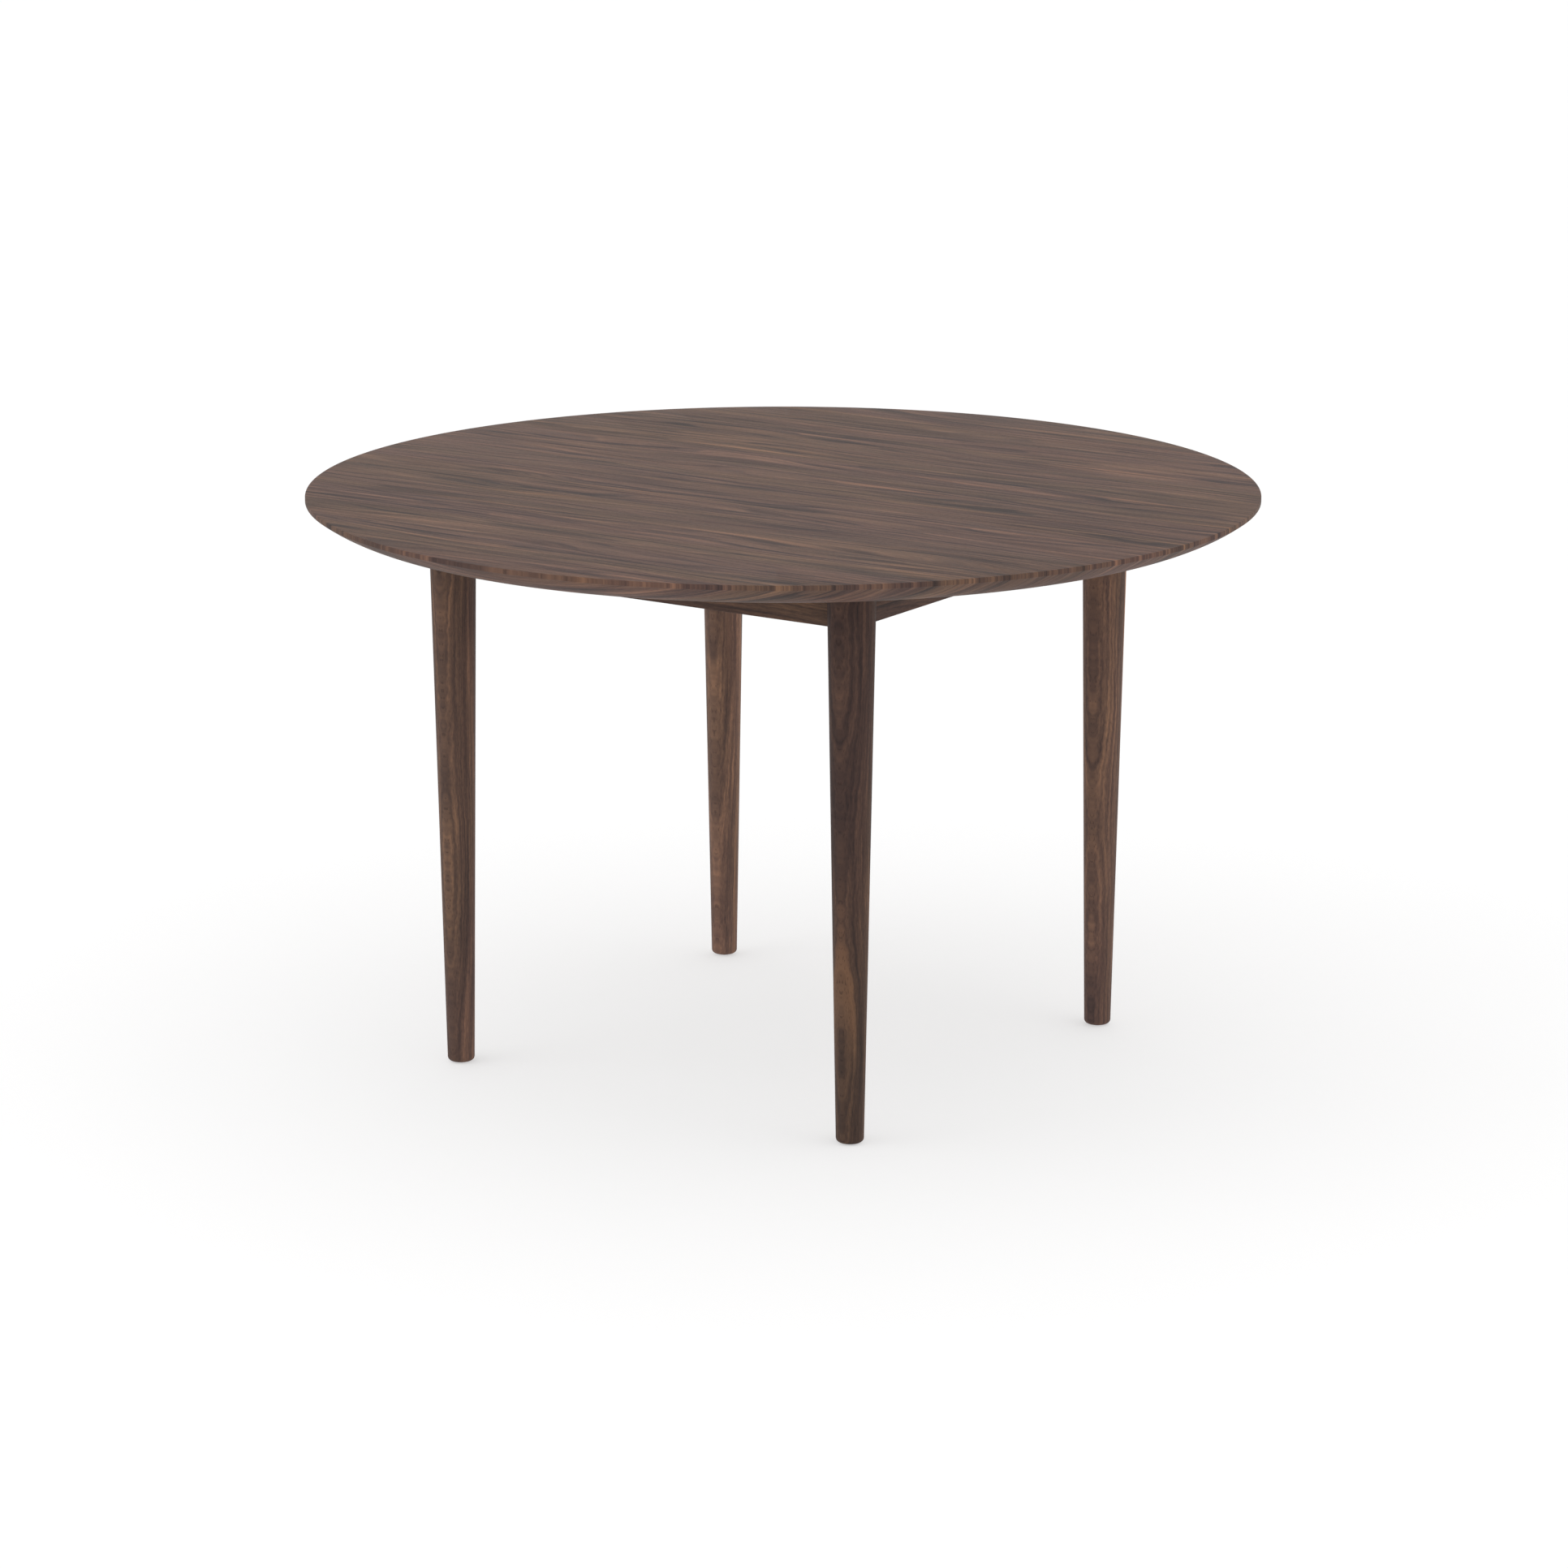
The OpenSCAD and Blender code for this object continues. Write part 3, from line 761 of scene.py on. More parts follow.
def brushed_metal(name, base, roughness, axis, scale):
    """Metal with fine lines along an axis and slight stains."""
    material, b, shader = new_material(name)
    place = b.add("ShaderNodeTexCoord").outputs["Object"]
    stretch = tuple(scale * (BRUSH_STRETCH if axis == k else 1.0) for k in range(3))
    lines = b.noise(b.scaled(place, stretch), seed=0.0, detail=3.0, roughness=0.6)
    stain = b.noise(b.scaled(place, (STAIN_SCALE,) * 3), seed=3.0, detail=3.0)
    tint = b.mix(b.step(stain, *STAIN_RANGE, STAIN_SHARE), rgba(base), rgba([STAIN_TINT * c for c in base]))
    b.put(shader.inputs["Base Color"], tint)
    b.put(shader.inputs["Roughness"], b.remap(lines, *NOISE_RANGE, *roughness))
    shader.inputs["Metallic"].default_value = 1.0
    bump = b.add("ShaderNodeBump", {**METAL_BUMP, "Height": lines})
    b.put(shader.inputs["Normal"], bump.outputs[0])
    return material


def zinc_plate(context):
    """The one finish of bolts, screws and stems."""
    name = "zinc_plate"
    if name in bpy.data.materials:
        return bpy.data.materials[name]
    return brushed_metal(name, context.scene.table_colours.zinc, ZINC_ROUGHNESS, 0, ZINC_SCALE)


def moulded_nylon(name, base):
    """Black moulded plastic with a fine eroded skin."""
    material, b, shader = new_material(name)
    place = b.add("ShaderNodeTexCoord").outputs["Object"]
    grain = b.noise(b.scaled(place, (MOULD_SCALE,) * 3), seed=0.0)
    scuff = b.noise(b.scaled(place, (SCUFF_SCALE,) * 3), seed=5.0, detail=3.0)
    tint = b.mix(b.step(scuff, *SCUFF_RANGE, SCUFF_SHARE), rgba(base), rgba([SCUFF_TINT * c for c in base]))
    b.put(shader.inputs["Base Color"], tint)
    b.put(shader.inputs["Roughness"], b.remap(scuff, *NOISE_RANGE, *NYLON_ROUGHNESS))
    bump = b.add("ShaderNodeBump", {**NYLON_BUMP, "Height": grain})
    b.put(shader.inputs["Normal"], bump.outputs[0])
    return material


# Pieces

class TABLE_OT_top(bpy.types.Operator):
    """Turn the top and saw it into its staves"""

    bl_idname = "table.top"
    bl_label = "Top"

    def execute(self, context):
        sizes = context.scene.table_sizes
        wood = walnut("top_walnut", context.scene.table_colours, (1, 0, 0), (0, 1, 0), FLAT_SAWN)
        rise = TABLE_HEIGHT - UNDERSIDE - sizes.edge_height
        bow = (rise ** 2 + sizes.undercut_width ** 2) / (2 * rise)
        flat = TOP_RADIUS - sizes.undercut_width
        sweep = math.degrees(math.asin(sizes.undercut_width / bow))
        soft = sizes.top_arris
        outline = [(0.0, UNDERSIDE)]
        outline += arc((flat, UNDERSIDE + bow), bow, -90, -90 + sweep, UNDERCUT_STEPS)
        outline += arc((TOP_RADIUS - soft, TABLE_HEIGHT - soft), soft, 0, 90, ARRIS_STEPS)
        outline += [(0.0, TABLE_HEIGHT)]
        whole = turned(outline, 3 * sizes.turning_steps)
        for k, node in enumerate(STAVES):
            low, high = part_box(node)[0][1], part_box(node)[1][1]
            stave = whole.copy()
            if k > 0:
                self.saw(stave, low, -1)
            if k < len(STAVES) - 1:
                self.saw(stave, high, 1)
            fit_piece(mesh_piece("stave_%02d" % (k + 1), stave, [wood], STAVE_SMOOTH), node)
        whole.free()
        return {"FINISHED"}

    @staticmethod
    def saw(bm, y, away):
        """Cuts off what lies beyond y and closes the sawn face."""
        parts = [*bm.verts, *bm.edges, *bm.faces]
        made = bmesh.ops.bisect_plane(bm, geom=parts, dist=WELD, plane_co=(0, y, 0), plane_no=(0, away, 0),
                                      clear_outer=True)
        rim = [g for g in made["geom_cut"] if isinstance(g, bmesh.types.BMEdge)]
        bmesh.ops.edgenet_fill(bm, edges=rim)


def bolt_heights(fittings):
    """Heights of the two bolts of a leg."""
    return [RAIL_MIDDLE + side * fittings.bolt_spacing / 2 for side in (-1, 1)]


def plate_screw_places(fittings):
    """Distance along a flange, and height, of each of its screws."""
    near, far = (TAB_AT - fittings.flange_width * (1 - spot) for spot in PLATE_SCREW_SPOTS)
    return [(near, RAIL_MIDDLE + SCREW_STAGGER), (far, RAIL_MIDDLE - SCREW_STAGGER)]


def clip_screw_places(fittings):
    """Distance from the middle of the table, and the two places along the rail, of the clip screws."""
    along = LEG_HALF_SPAN - fittings.clip_from_leg
    return RAIL_IN - CLIP_SCREW_SPOT * fittings.clip_foot, (-along, along)


def leg_radius(sizes, height):
    """Radius of a leg's straight taper at a height above the floor."""
    start = LEG_LOW + sizes.foot_round
    part = (height - start) / (UNDERSIDE - start)
    return (sizes.foot_diameter + (sizes.leg_top_diameter - sizes.foot_diameter) * part) / 2


class TABLE_OT_legs(bpy.types.Operator):
    """Turn the four legs, cut the housings for the rails and bore the holes for bolts and glides"""

    bl_idname = "table.legs"
    bl_label = "Legs"

    def execute(self, context):
        sizes = context.scene.table_sizes
        fittings = context.scene.table_fittings
        foot = sizes.foot_diameter / 2
        bend = sizes.foot_round
        way = fittings.bolt_diameter / 2 + fittings.clear_fit
        recess = PAD_SIZE.x / 2 + fittings.clear_fit
        # down the hole for the glide from its blind end, then round the foot and up the taper
        blind = STEM_HIGH + fittings.clear_fit
        outline = [(0.0, blind), (way, blind), (way, INSERT_HIGH), (INSERT_RADIUS, INSERT_HIGH),
                   (INSERT_RADIUS, INSERT_LOW), (recess, INSERT_LOW), (recess, LEG_LOW)]
        outline += arc((foot - bend, LEG_LOW + bend), bend, -90, 0, FOOT_STEPS)
        outline += [(sizes.leg_top_diameter / 2, UNDERSIDE), (0.0, UNDERSIDE)]
        sap_start = LEG_HALF_SPAN + SAP_OFFSET + SAP_LEAN * UNDERSIDE
        sap_band = (sap_start, SAP_WIDTH, SAP_LEAN, SAP_SOFTNESS)
        first_seed, next_seed = LEG_SEEDS
        for k, corner in enumerate(CORNERS):
            wood = walnut("leg_walnut_" + corner, context.scene.table_colours, (0, 0, 1), (0, 1, 0), TURNED,
                          seed=first_seed + next_seed * k, darken=LEG_SHADES[corner],
                          sap_band=sap_band if corner == SAP_LEG else None)
            bm = cut(turned(outline, sizes.turning_steps), self.cutters(sizes, fittings))
            bmesh.ops.transform(bm, matrix=corner_turn(corner), verts=bm.verts)
            fit_piece(mesh_piece("turned_leg_" + corner, bm, [wood]), "leg_" + corner)
        return {"FINISHED"}

    @staticmethod
    def cutters(sizes, fittings):
        """Two housings, the flat that faces the corner plate, and the two bolt holes."""
        end = LEG_HALF_SPAN - RAIL_SIZE.y / 2
        front = RAIL_SIZE.x - RAIL_BACK
        over = UNDERSIDE + PAST
        tools = [block((-FAR_PAST, -RAIL_BACK, RAIL_LOW), (-end, front, over)),
                 block((-RAIL_BACK, -FAR_PAST, RAIL_LOW), (front, -end, over))]
        flat = leg_radius(sizes, RAIL_LOW) - fittings.bolt_flat_cut
        eighth = Matrix.Rotation(math.radians(45), 4, "Z")
        tools.append(block((-FAR_PAST, -FAR_PAST, RAIL_LOW), (-flat, FAR_PAST, over), eighth))
        for height in bolt_heights(fittings):
            start = Vector((0, 0, height)) - INWARDS * fittings.bolt_past_axis
            tools.append(drill(fittings.bolt_diameter / 2, start, INWARDS, FAR_PAST))
        return tools


class TABLE_OT_rails(bpy.types.Operator):
    """Plane the four rails, with the groove for the clips, the saw cuts and the screw holes"""

    bl_idname = "table.rails"
    bl_label = "Rails"

    def execute(self, context):
        soft = context.scene.table_sizes.rail_arris
        fittings = context.scene.table_fittings
        thick, long = RAIL_SIZE.x, RAIL_SIZE.y
        inner, outer = RAIL_IN + soft, RAIL_IN + thick - soft
        low, high = RAIL_LOW + soft, UNDERSIDE - soft
        outline = []
        for quarter, middle in enumerate(((outer, low), (outer, high), (inner, high), (inner, low))):
            outline += arc(middle, soft, 90 * quarter - 90, 90 * quarter, RAIL_ARRIS_STEPS)
        first_seed, next_seed = RAIL_SEEDS
        for k, side in enumerate(SIDES):
            along, layers = RAIL_GRAIN[k % 2]
            wood = walnut("rail_walnut_" + side, context.scene.table_colours, along, layers, PLANED,
                          seed=first_seed + next_seed * k, darken=RAIL_SHADE)
            bm = extruded(outline, lambda a, b, d: (a, d - long / 2, b), long)
            bm = cut(bm, self.cutters(fittings))
            bmesh.ops.transform(bm, matrix=side_turn(side), verts=bm.verts)
            fit_piece(mesh_piece("planed_rail_" + side, bm, [wood]), "rail_" + side)
        return {"FINISHED"}

    @staticmethod
    def cutters(fittings):
        """For the right-hand rail: groove, two saw cuts, two slots for the bolts and four screw holes."""
        fit = fittings.close_fit
        groove_low = CLIP_LOW - fit
        groove_high = CLIP_LOW + fittings.clip_thickness + fit
        tools = [block((RAIL_IN - PAST, -LEG_HALF_SPAN, groove_low),
                       (RAIL_IN + fittings.groove_depth, LEG_HALF_SPAN, groove_high))]
        way = fittings.bolt_diameter / 2 + PAST
        for end in (-1, 1):
            kerf_middle = end * (LEG_HALF_SPAN - TAB_AT + fittings.plate_thickness / 2)
            half = fittings.plate_thickness / 2 + fit
            tools.append(block((RAIL_IN - PAST, kerf_middle - half, RAIL_LOW - PAST),
                               (RAIL_IN + TAB_DEPTH + fit, kerf_middle + half, UNDERSIDE + PAST)))
            middle = Vector((LEG_HALF_SPAN, end * LEG_HALF_SPAN, 0))
            lay = Matrix.Translation(middle) @ Matrix.Rotation(math.radians(45 * end), 4, "Z")
            tools.append(block((-BOLT_WAY * TAB_AT, -way, RAIL_LOW - PAST), (0, way, UNDERSIDE + PAST), lay))
            for along, height in plate_screw_places(fittings):
                start = Vector((RAIL_IN - PAST, end * (LEG_HALF_SPAN - along), height))
                depth = fittings.plate_screw_bite + PAST
                tools.append(drill(fittings.plate_screw / 2, start, (1, 0, 0), depth, PILOT_STEPS))
        return tools


class TABLE_OT_corner_plates(bpy.types.Operator):
    """Bend the four corner plates out of sheet and drill them"""

    bl_idname = "table.corner_plates"
    bl_label = "Corner Plates"

    def execute(self, context):
        fittings = context.scene.table_fittings
        steel = brushed_metal("pressed_steel", context.scene.table_colours.steel, PLATE_ROUGHNESS, 2,
                              BRUSH_SCALE)
        thick = fittings.plate_thickness
        reach = TAB_AT - fittings.flange_width
        face = -RAIL_BACK - thick / 2
        half = [(-TAB_AT + thick / 2, -RAIL_BACK + TAB_DEPTH), (-TAB_AT + thick / 2, face), (-reach, face)]
        path = half + [(b, a) for a, b in reversed(half)]
        outline = bent_strip(path, thick, fittings.bend_radius)
        tall = PLATE_HIGH.z - PLATE_LOW.z
        for corner in CORNERS:
            bm = extruded(outline, lambda a, b, d: (a, b, PLATE_LOW.z + d), tall)
            bm = cut(bm, self.drills(fittings))
            bmesh.ops.transform(bm, matrix=corner_turn(corner), verts=bm.verts)
            plate = mesh_piece("bent_plate_" + corner, bm, [steel], PLATE_SMOOTH)
            fit_piece(plate, "corner_plate_" + corner)
        return {"FINISHED"}

    @staticmethod
    def drills(fittings):
        """Cutters for the holes of the two bolts and the four screws."""
        hole = (fittings.bolt_diameter + fittings.clear_fit) / 2
        tools = [drill(hole, Vector((0, 0, z)) + INWARDS * RAIL_BACK, INWARDS, TAB_AT)
                 for z in bolt_heights(fittings)]
        small = (fittings.plate_screw + fittings.clear_fit) / 2
        through = 3 * fittings.plate_thickness
        back = -RAIL_BACK - 2 * fittings.plate_thickness
        for along, height in plate_screw_places(fittings):
            tools.append(drill(small, (-along, back, height), (0, 1, 0), through, SMALL_HOLE_STEPS))
            tools.append(drill(small, (back, -along, height), (1, 0, 0), through, SMALL_HOLE_STEPS))
        return tools


class TABLE_OT_bolts(bpy.types.Operator):
    """Make the hanger bolts with their washers and nuts"""

    bl_idname = "table.bolts"
    bl_label = "Bolts"

    def execute(self, context):
        sizes = context.scene.table_sizes
        fittings = context.scene.table_fittings
        zinc = zinc_plate(context)
        web = (TAB_AT - fittings.flange_width + RAIL_BACK + fittings.plate_thickness / 2) / math.sqrt(2)
        seat = web + fittings.plate_thickness / 2 + fittings.washer_thickness
        patterns = {
            "hanger_bolts": self.bolt(sizes, fittings, seat),
            "bolt_washers": self.washer(fittings, seat - fittings.washer_thickness),
            "bolt_nuts": self.nut(fittings, seat),
        }
        low = bolt_heights(fittings)[0]
        middle = Vector((LEG_HALF_SPAN, LEG_HALF_SPAN, low))
        turn = INWARDS.to_track_quat("Z", "Y").to_euler()
        row = (middle, (0, 0, fittings.bolt_spacing), 2, turn)
        for node, pattern in patterns.items():
            prefix = "threaded_" if node == "hanger_bolts" else "zinc_"
            fit_piece(repeated(prefix + node, pattern, zinc, [row]), node)
        return {"FINISHED"}

    @staticmethod
    def bolt(sizes, fittings, seat):
        """Wood thread in the leg, metal thread beyond it; local Z runs from the leg's axis inwards."""
        crest = fittings.bolt_diameter / 2
        start = -fittings.bolt_past_axis
        face = leg_radius(sizes, RAIL_LOW) - fittings.bolt_flat_cut
        end = seat + fittings.nut_height + fittings.bolt_past_nut
        rings = thread_rings(start, face - BOLT_POINT, crest, WOOD_THREAD, fittings.wood_pitch, BOLT_STEPS,
                             lambda z: crest * min(1.0, BOLT_TIP + (z - start) / BOLT_POINT))
        rings.append(ring_at(crest - BOLT_NECK, face - 0.5 * BOLT_POINT, BOLT_STEPS))
        rings += thread_rings(face, end, crest, METAL_THREAD, fittings.machine_pitch, BOLT_STEPS,
                              lambda z: crest - max(0.0, z - end + THREAD_CHAMFER))
        return skin(rings)

    @staticmethod
    def washer(fittings, low):
        """Flat ring with softened edges, rounder on its far side."""
        hole = (fittings.bolt_diameter + fittings.clear_fit) / 2
        rim = fittings.washer_diameter / 2
        thick = fittings.washer_thickness
        soft = WASHER_SOFT * thick
        outline = [(hole + soft, low), (rim - soft, low), (rim, low + soft), (rim, low + thick - 2 * soft),
                   (rim - 2 * soft, low + thick), (hole + soft, low + thick), (hole, low + thick - soft),
                   (hole, low + soft)]
        return bored(outline, FITTING_STEPS)

    @staticmethod
    def nut(fittings, low):
        """Hexagon nut with both faces turned to a cone."""
        half = fittings.nut_width / 2
        hole = fittings.bolt_diameter / 2
        high = low + fittings.nut_height
        face = NUT_FACE * half
        slope = math.tan(math.radians(NUT_CONE))
        turns = [k / NUT_STEPS for k in range(NUT_STEPS)]

        def hexagon(turn):
            return half / math.cos((turn % (1 / 6)) * 2 * math.pi - math.pi / 6)

        def edge(base, way):
            points = []
            for turn in turns:
                r = hexagon(turn)
                a = 2 * math.pi * turn
                points.append((r * math.cos(a), r * math.sin(a), base + way * (r - face) * slope))
            return points

        rings = [ring_at(hole, low + NUT_SINK, NUT_STEPS), ring_at(hole + NUT_SINK, low, NUT_STEPS),
                 ring_at(face, low, NUT_STEPS), edge(low, 1),
                 edge(high, -1), ring_at(face, high, NUT_STEPS),
                 ring_at(hole + NUT_SINK, high, NUT_STEPS), ring_at(hole, high - NUT_SINK, NUT_STEPS)]
        return skin(rings, closed=True)


def cross_screw(shank, head_height, grip, bite):
    """Pan-head screw with a cross recess: local Z runs into the wood, the head is under Z = 0.

    grip is the plain part that passes through the sheet, bite the threaded part in the wood.
    """
    radius = shank / 2
    head = shank
    soft = HEAD_SOFT * head_height
    outline = [(r * head, -h * head_height) for r, h in HEAD_CROWN]
    outline += arc((head - soft, HEAD_SHOULDER * soft - head_height), soft, *HEAD_SWEEP)
    outline += [(head, 0.0), (radius, 0.0), (radius, grip)]
    end = grip + bite
    point = SCREW_POINT * shank
    thread = (SCREW_THREAD_DEPTH * shank, SCREW_THREAD_RINGS)
    rings = [ring_at(r, z, SCREW_STEPS) for r, z in outline]
    rings += thread_rings(grip + SCREW_THREAD_START * shank, end, radius, thread, SCREW_THREAD_PITCH * shank,
                          SCREW_STEPS, lambda z: radius * min(1.0, SCREW_TIP + (end - z) / point))
    low = Vector((-CROSS_REACH * head, -CROSS_HALF_WIDTH * head, -2 * head_height))
    high = Vector((CROSS_REACH * head, CROSS_HALF_WIDTH * head, -CROSS_FLOOR * head_height))
    quarter = Matrix.Rotation(math.pi / 2, 4, "Z")
    return cut(skin(rings), [block(low, high), block(low, high, quarter)])


class TABLE_OT_clips(bpy.types.Operator):
    """Bend the clips that hold the top down"""

    bl_idname = "table.clips"
    bl_label = "Clips"

    def execute(self, context):
        fittings = context.scene.table_fittings
        steel = brushed_metal("clip_steel", context.scene.table_colours.steel, CLIP_ROUGHNESS, 1,
                              BRUSH_SCALE)
        thick = fittings.clip_thickness
        riser = RAIL_IN - CLIP_GAP - thick / 2
        low, high = CLIP_LOW + thick / 2, UNDERSIDE - thick / 2
        path = [(CLIP_END, low), (riser, low), (riser, high), (RAIL_IN - fittings.clip_foot, high)]
        outline = bent_strip(path, thick, CLIP_BEND * thick)
        wide = fittings.clip_width
        bm = extruded(outline, lambda a, b, d: (a, d - wide / 2, b), wide)
        screw_x, screw_ys = clip_screw_places(fittings)
        hole = (fittings.clip_screw + fittings.clear_fit) / 2
        bm = cut(bm, [drill(hole, (screw_x, 0, UNDERSIDE - 2 * thick), (0, 0, 1), 4 * thick)])
        step = (0, screw_ys[1] - screw_ys[0], 0)
        row = ((0, screw_ys[0], 0), step, 2, (0, 0, 0))
        fit_piece(repeated("bent_top_clips", bm, steel, [row]), "top_clips")
        return {"FINISHED"}


class TABLE_OT_screws(bpy.types.Operator):
    """Make the screws of the corner plates and the clips"""

    bl_idname = "table.screws"
    bl_label = "Screws"

    def execute(self, context):
        fittings = context.scene.table_fittings
        zinc = zinc_plate(context)
        plate = cross_screw(fittings.plate_screw, fittings.plate_screw_head, fittings.plate_thickness,
                            fittings.plate_screw_bite)
        (near, high), (far, low) = plate_screw_places(fittings)
        seat = RAIL_IN - fittings.plate_thickness
        start, step, drop = LEG_HALF_SPAN - near, near - far, low - high
        rows = [((start, seat, high), (step, 0, drop), 2, (-math.pi / 2, 0, 0)),
                ((seat, start, high), (0, step, drop), 2, (0, math.pi / 2, 0))]
        fit_piece(repeated("cross_plate_screws", plate, zinc, rows), "plate_screws")
        clip = cross_screw(fittings.clip_screw, fittings.clip_screw_head, fittings.clip_thickness,
                           fittings.clip_screw_bite)
        x, ys = clip_screw_places(fittings)
        row = ((x, ys[0], UNDERSIDE - fittings.clip_thickness), (0, ys[1] - ys[0], 0), 2, (0, 0, 0))
        fit_piece(repeated("cross_clip_screws", clip, zinc, [row]), "clip_screws")
        return {"FINISHED"}


class TABLE_OT_glides(bpy.types.Operator):
    """Make the threaded inserts, the stems with their key sockets, and the nylon pads"""

    bl_idname = "table.glides"
    bl_label = "Glides"

    def execute(self, context):
        fittings = context.scene.table_fittings
        zinc = zinc_plate(context)
        nylon = moulded_nylon("black_nylon", context.scene.table_colours.nylon)
        for corner in CORNERS:
            for bm, name, node, body, finish in (
                    (self.insert(fittings), "insert_", "foot_insert_", "table", zinc),
                    (self.stem(fittings), "stem_", "glide_stem_", "stem_" + corner, zinc),
                    (self.pad(fittings), "pad_", "glide_pad_", "pad_" + corner, nylon)):
                bmesh.ops.transform(bm, matrix=corner_turn(corner), verts=bm.verts)
                fit_piece(mesh_piece(name + corner, bm, [finish]), node + corner, body)
        return {"FINISHED"}

    @staticmethod
    def insert(fittings):
        """Plated bush: coarse wood thread outside, plain bore for the stem inside."""
        bore = fittings.bolt_diameter / 2 + fittings.run_fit
        outline = [(bore, INSERT_HIGH), (bore, INSERT_LOW), (INSERT_RADIUS - INSERT_CHAMFER, INSERT_LOW)]
        rings = [ring_at(r, z, FITTING_STEPS) for r, z in outline]
        rings += thread_rings(INSERT_LOW + INSERT_LEAD, INSERT_HIGH, INSERT_RADIUS, INSERT_THREAD,
                              INSERT_PITCH, FITTING_STEPS)
        return skin(rings, closed=True)

    @staticmethod
    def stem(fittings):
        """Flange that the pad holds, metal thread above it, hexagon socket in its lower end."""
        crest = fittings.bolt_diameter / 2
        rim = STEM_FLANGE
        top = STEM_LOW + fittings.flange_thickness
        soft = FLANGE_SOFT
        outline = [(rim - soft, STEM_LOW), (rim, STEM_LOW + soft), (rim, top - soft), (rim - soft, top),
                   (crest, top)]
        rings = [ring_at(r, z, FITTING_STEPS) for r, z in outline]
        rings += thread_rings(top + STEM_LEAD, STEM_HIGH, crest, METAL_THREAD, fittings.machine_pitch,
                              FITTING_STEPS, lambda z: crest - max(0.0, z - STEM_HIGH + THREAD_CHAMFER))
        key = fittings.key_width / math.sqrt(3)
        socket = bmesh.new()
        bmesh.ops.create_cone(socket, cap_ends=True, segments=6, radius1=key, radius2=key,
                              depth=2 * fittings.key_depth)
        bmesh.ops.translate(socket, vec=(0, 0, STEM_LOW), verts=socket.verts)
        return cut(skin(rings), [socket])

    @staticmethod
    def pad(fittings):
        """Rounded pad with a snap-in hollow for the flange and a hole for the key."""
        rim = PAD_SIZE.x / 2
        high = PAD_SIZE.z
        soft = PAD_SOFT
        key = PAD_KEY_HOLE
        neck = fittings.bolt_diameter / 2 + fittings.run_fit
        hollow = STEM_FLANGE + fittings.run_fit
        floor = fittings.pad_floor
        roof = floor + fittings.flange_thickness + 4 * fittings.run_fit
        outline = [(key + soft, 0.0)]
        outline += arc((rim - PAD_ROUND, PAD_ROUND), PAD_ROUND, -90, 0, ARRIS_STEPS)
        outline += arc((rim - soft, high - soft), soft, 0, 90, PAD_SOFT_STEPS)
        outline += [(neck + soft, high), (neck, high - soft), (neck, roof), (hollow, roof), (hollow, floor),
                    (key, floor), (key, soft)]
        return bored(outline, PAD_STEPS)


# Stage

WHITE = (1.0, 1.0, 1.0, 1.0)
FLOOR_HALF = 30.0
FLOOR_CLOUD = (3.0, 3.0, 1.0)
FLOOR_SHARE = 0.3
FLOOR_TINT = 0.985
SENSOR_WIDTH = 36.0
CAMERA_REACH = 200.0
# name, place and size of each lamp, and the point that they aim at
LAMPS = (("key", (-2.2, -2.6, 3.4), 2.6), ("fill", (3.2, 0.6, 2.6), 2.4))
LAMP_AIM = (0, 0, 0.4)


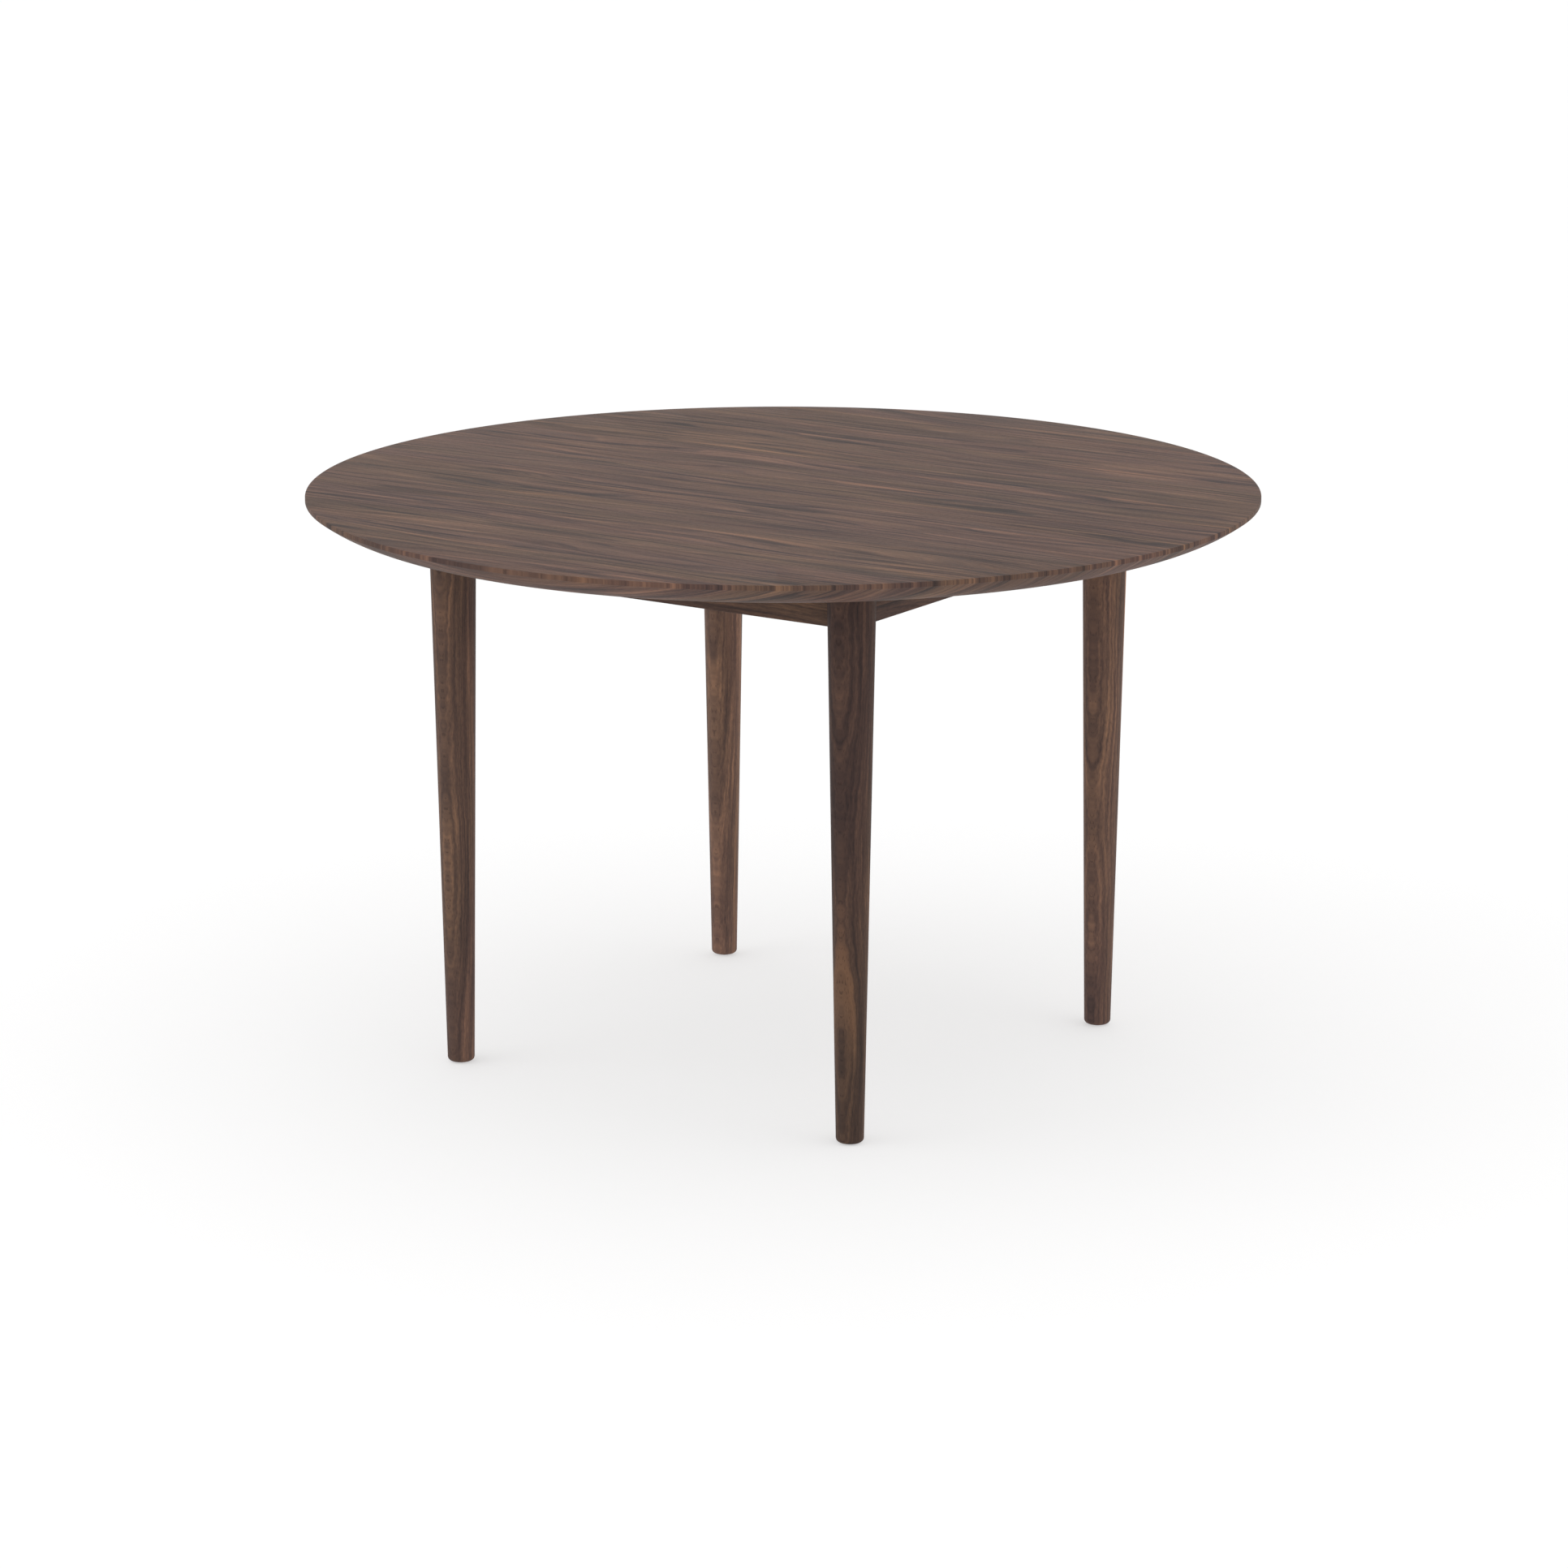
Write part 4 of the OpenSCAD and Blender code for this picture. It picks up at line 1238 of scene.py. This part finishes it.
class TABLE_OT_stage(bpy.types.Operator):
    """Lay the floor, place the camera and hang the lights"""

    bl_idname = "table.stage"
    bl_label = "Stage"

    def execute(self, context):
        stage = context.scene.table_stage
        self.floor(context)
        self.camera(context, stage)
        self.lights(context, stage)
        return {"FINISHED"}

    @staticmethod
    def floor(context):
        """A large plain floor that glows a little, so that it is as bright as the walls round it."""
        material, b, shader = new_material("pale_floor")
        place = b.add("ShaderNodeTexCoord").outputs["Object"]
        cloud = b.noise(b.scaled(place, FLOOR_CLOUD), seed=0.0)
        base = context.scene.table_colours.floor
        tint = b.mix(b.step(cloud, *NOISE_RANGE, FLOOR_SHARE), rgba(base),
                     rgba([FLOOR_TINT * c for c in base]))
        b.put(shader.inputs["Base Color"], tint)
        shader.inputs["Roughness"].default_value = 0.9
        shader.inputs["Specular IOR Level"].default_value = 0.1
        shader.inputs["Emission Color"].default_value = WHITE
        shader.inputs["Emission Strength"].default_value = context.scene.table_stage.floor_glow
        bm = bmesh.new()
        bmesh.ops.create_grid(bm, x_segments=1, y_segments=1, size=FLOOR_HALF)
        floor = mesh_piece("stage_floor", bm, [material])

    @staticmethod
    def camera(context, stage):
        """The camera, placed by its direction and distance from the point that it looks at."""
        data = bpy.data.cameras.new("camera")
        data.lens = stage.lens
        data.sensor_width = SENSOR_WIDTH
        data.clip_end = CAMERA_REACH
        camera = bpy.data.objects.new("camera", data)
        context.scene.collection.objects.link(camera)
        level = math.cos(stage.elevation)
        out = Vector((math.sin(stage.azimuth) * level, -math.cos(stage.azimuth) * level,
                      math.sin(stage.elevation)))
        camera.location = Vector(stage.aim) + stage.distance * out
        camera.rotation_euler = out.to_track_quat("Z", "Y").to_euler()
        context.scene.camera = camera

    @staticmethod
    def lights(context, stage):
        """Even white light from all round, and two large soft lamps."""
        context.scene.view_settings.view_transform = "Standard"
        world = bpy.data.worlds.new("studio")
        world.use_nodes = True
        background = world.node_tree.nodes["Background"]
        background.inputs["Color"].default_value = WHITE
        background.inputs["Strength"].default_value = stage.ambient
        context.scene.world = world
        powers = (stage.key_power, stage.fill_power)
        for (name, place, size), power in zip(LAMPS, powers):
            data = bpy.data.lights.new(name, "AREA")
            data.size = size
            data.energy = power
            lamp = bpy.data.objects.new(name, data)
            lamp.location = place
            aim = Vector(place) - Vector(LAMP_AIM)
            lamp.rotation_euler = aim.to_track_quat("Z", "Y").to_euler()
            context.scene.collection.objects.link(lamp)


class TABLE_PT_panel(bpy.types.Panel):
    """Lists the table's settings and the steps that build it"""

    bl_label = "Round Dining Table"
    bl_idname = "TABLE_PT_panel"
    bl_space_type = "VIEW_3D"
    bl_region_type = "UI"
    bl_category = "Table"

    def draw(self, context):
        scene = context.scene
        for step in STEPS:
            self.layout.operator(step.bl_idname)
        for group in (scene.table_sizes, scene.table_fittings, scene.table_colours, scene.table_stage):
            panel = self.layout.box()
            for name in group.__annotations__:
                panel.prop(group, name)


STEPS = (TABLE_OT_top, TABLE_OT_legs, TABLE_OT_rails, TABLE_OT_corner_plates, TABLE_OT_bolts, TABLE_OT_clips,
         TABLE_OT_screws, TABLE_OT_glides, TABLE_OT_stage)
GROUPS = (TableSizes, TableFittings, TableColours, TableStage)


def register():
    """Adds the settings, the steps and the panel to Blender."""
    for cls in (*GROUPS, *STEPS, TABLE_PT_panel):
        bpy.utils.register_class(cls)
    bpy.types.Scene.table_sizes = PointerProperty(type=TableSizes)
    bpy.types.Scene.table_fittings = PointerProperty(type=TableFittings)
    bpy.types.Scene.table_colours = PointerProperty(type=TableColours)
    bpy.types.Scene.table_stage = PointerProperty(type=TableStage)


def unregister():
    """Takes them away again."""
    del bpy.types.Scene.table_stage
    del bpy.types.Scene.table_colours
    del bpy.types.Scene.table_fittings
    del bpy.types.Scene.table_sizes
    for cls in reversed((*GROUPS, *STEPS, TABLE_PT_panel)):
        bpy.utils.unregister_class(cls)


def main():
    """Registers the add-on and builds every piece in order."""
    register()
    for step in STEPS:
        area, name = step.bl_idname.split(".")
        getattr(getattr(bpy.ops, area), name)()


if __name__ == "__main__":
    main()
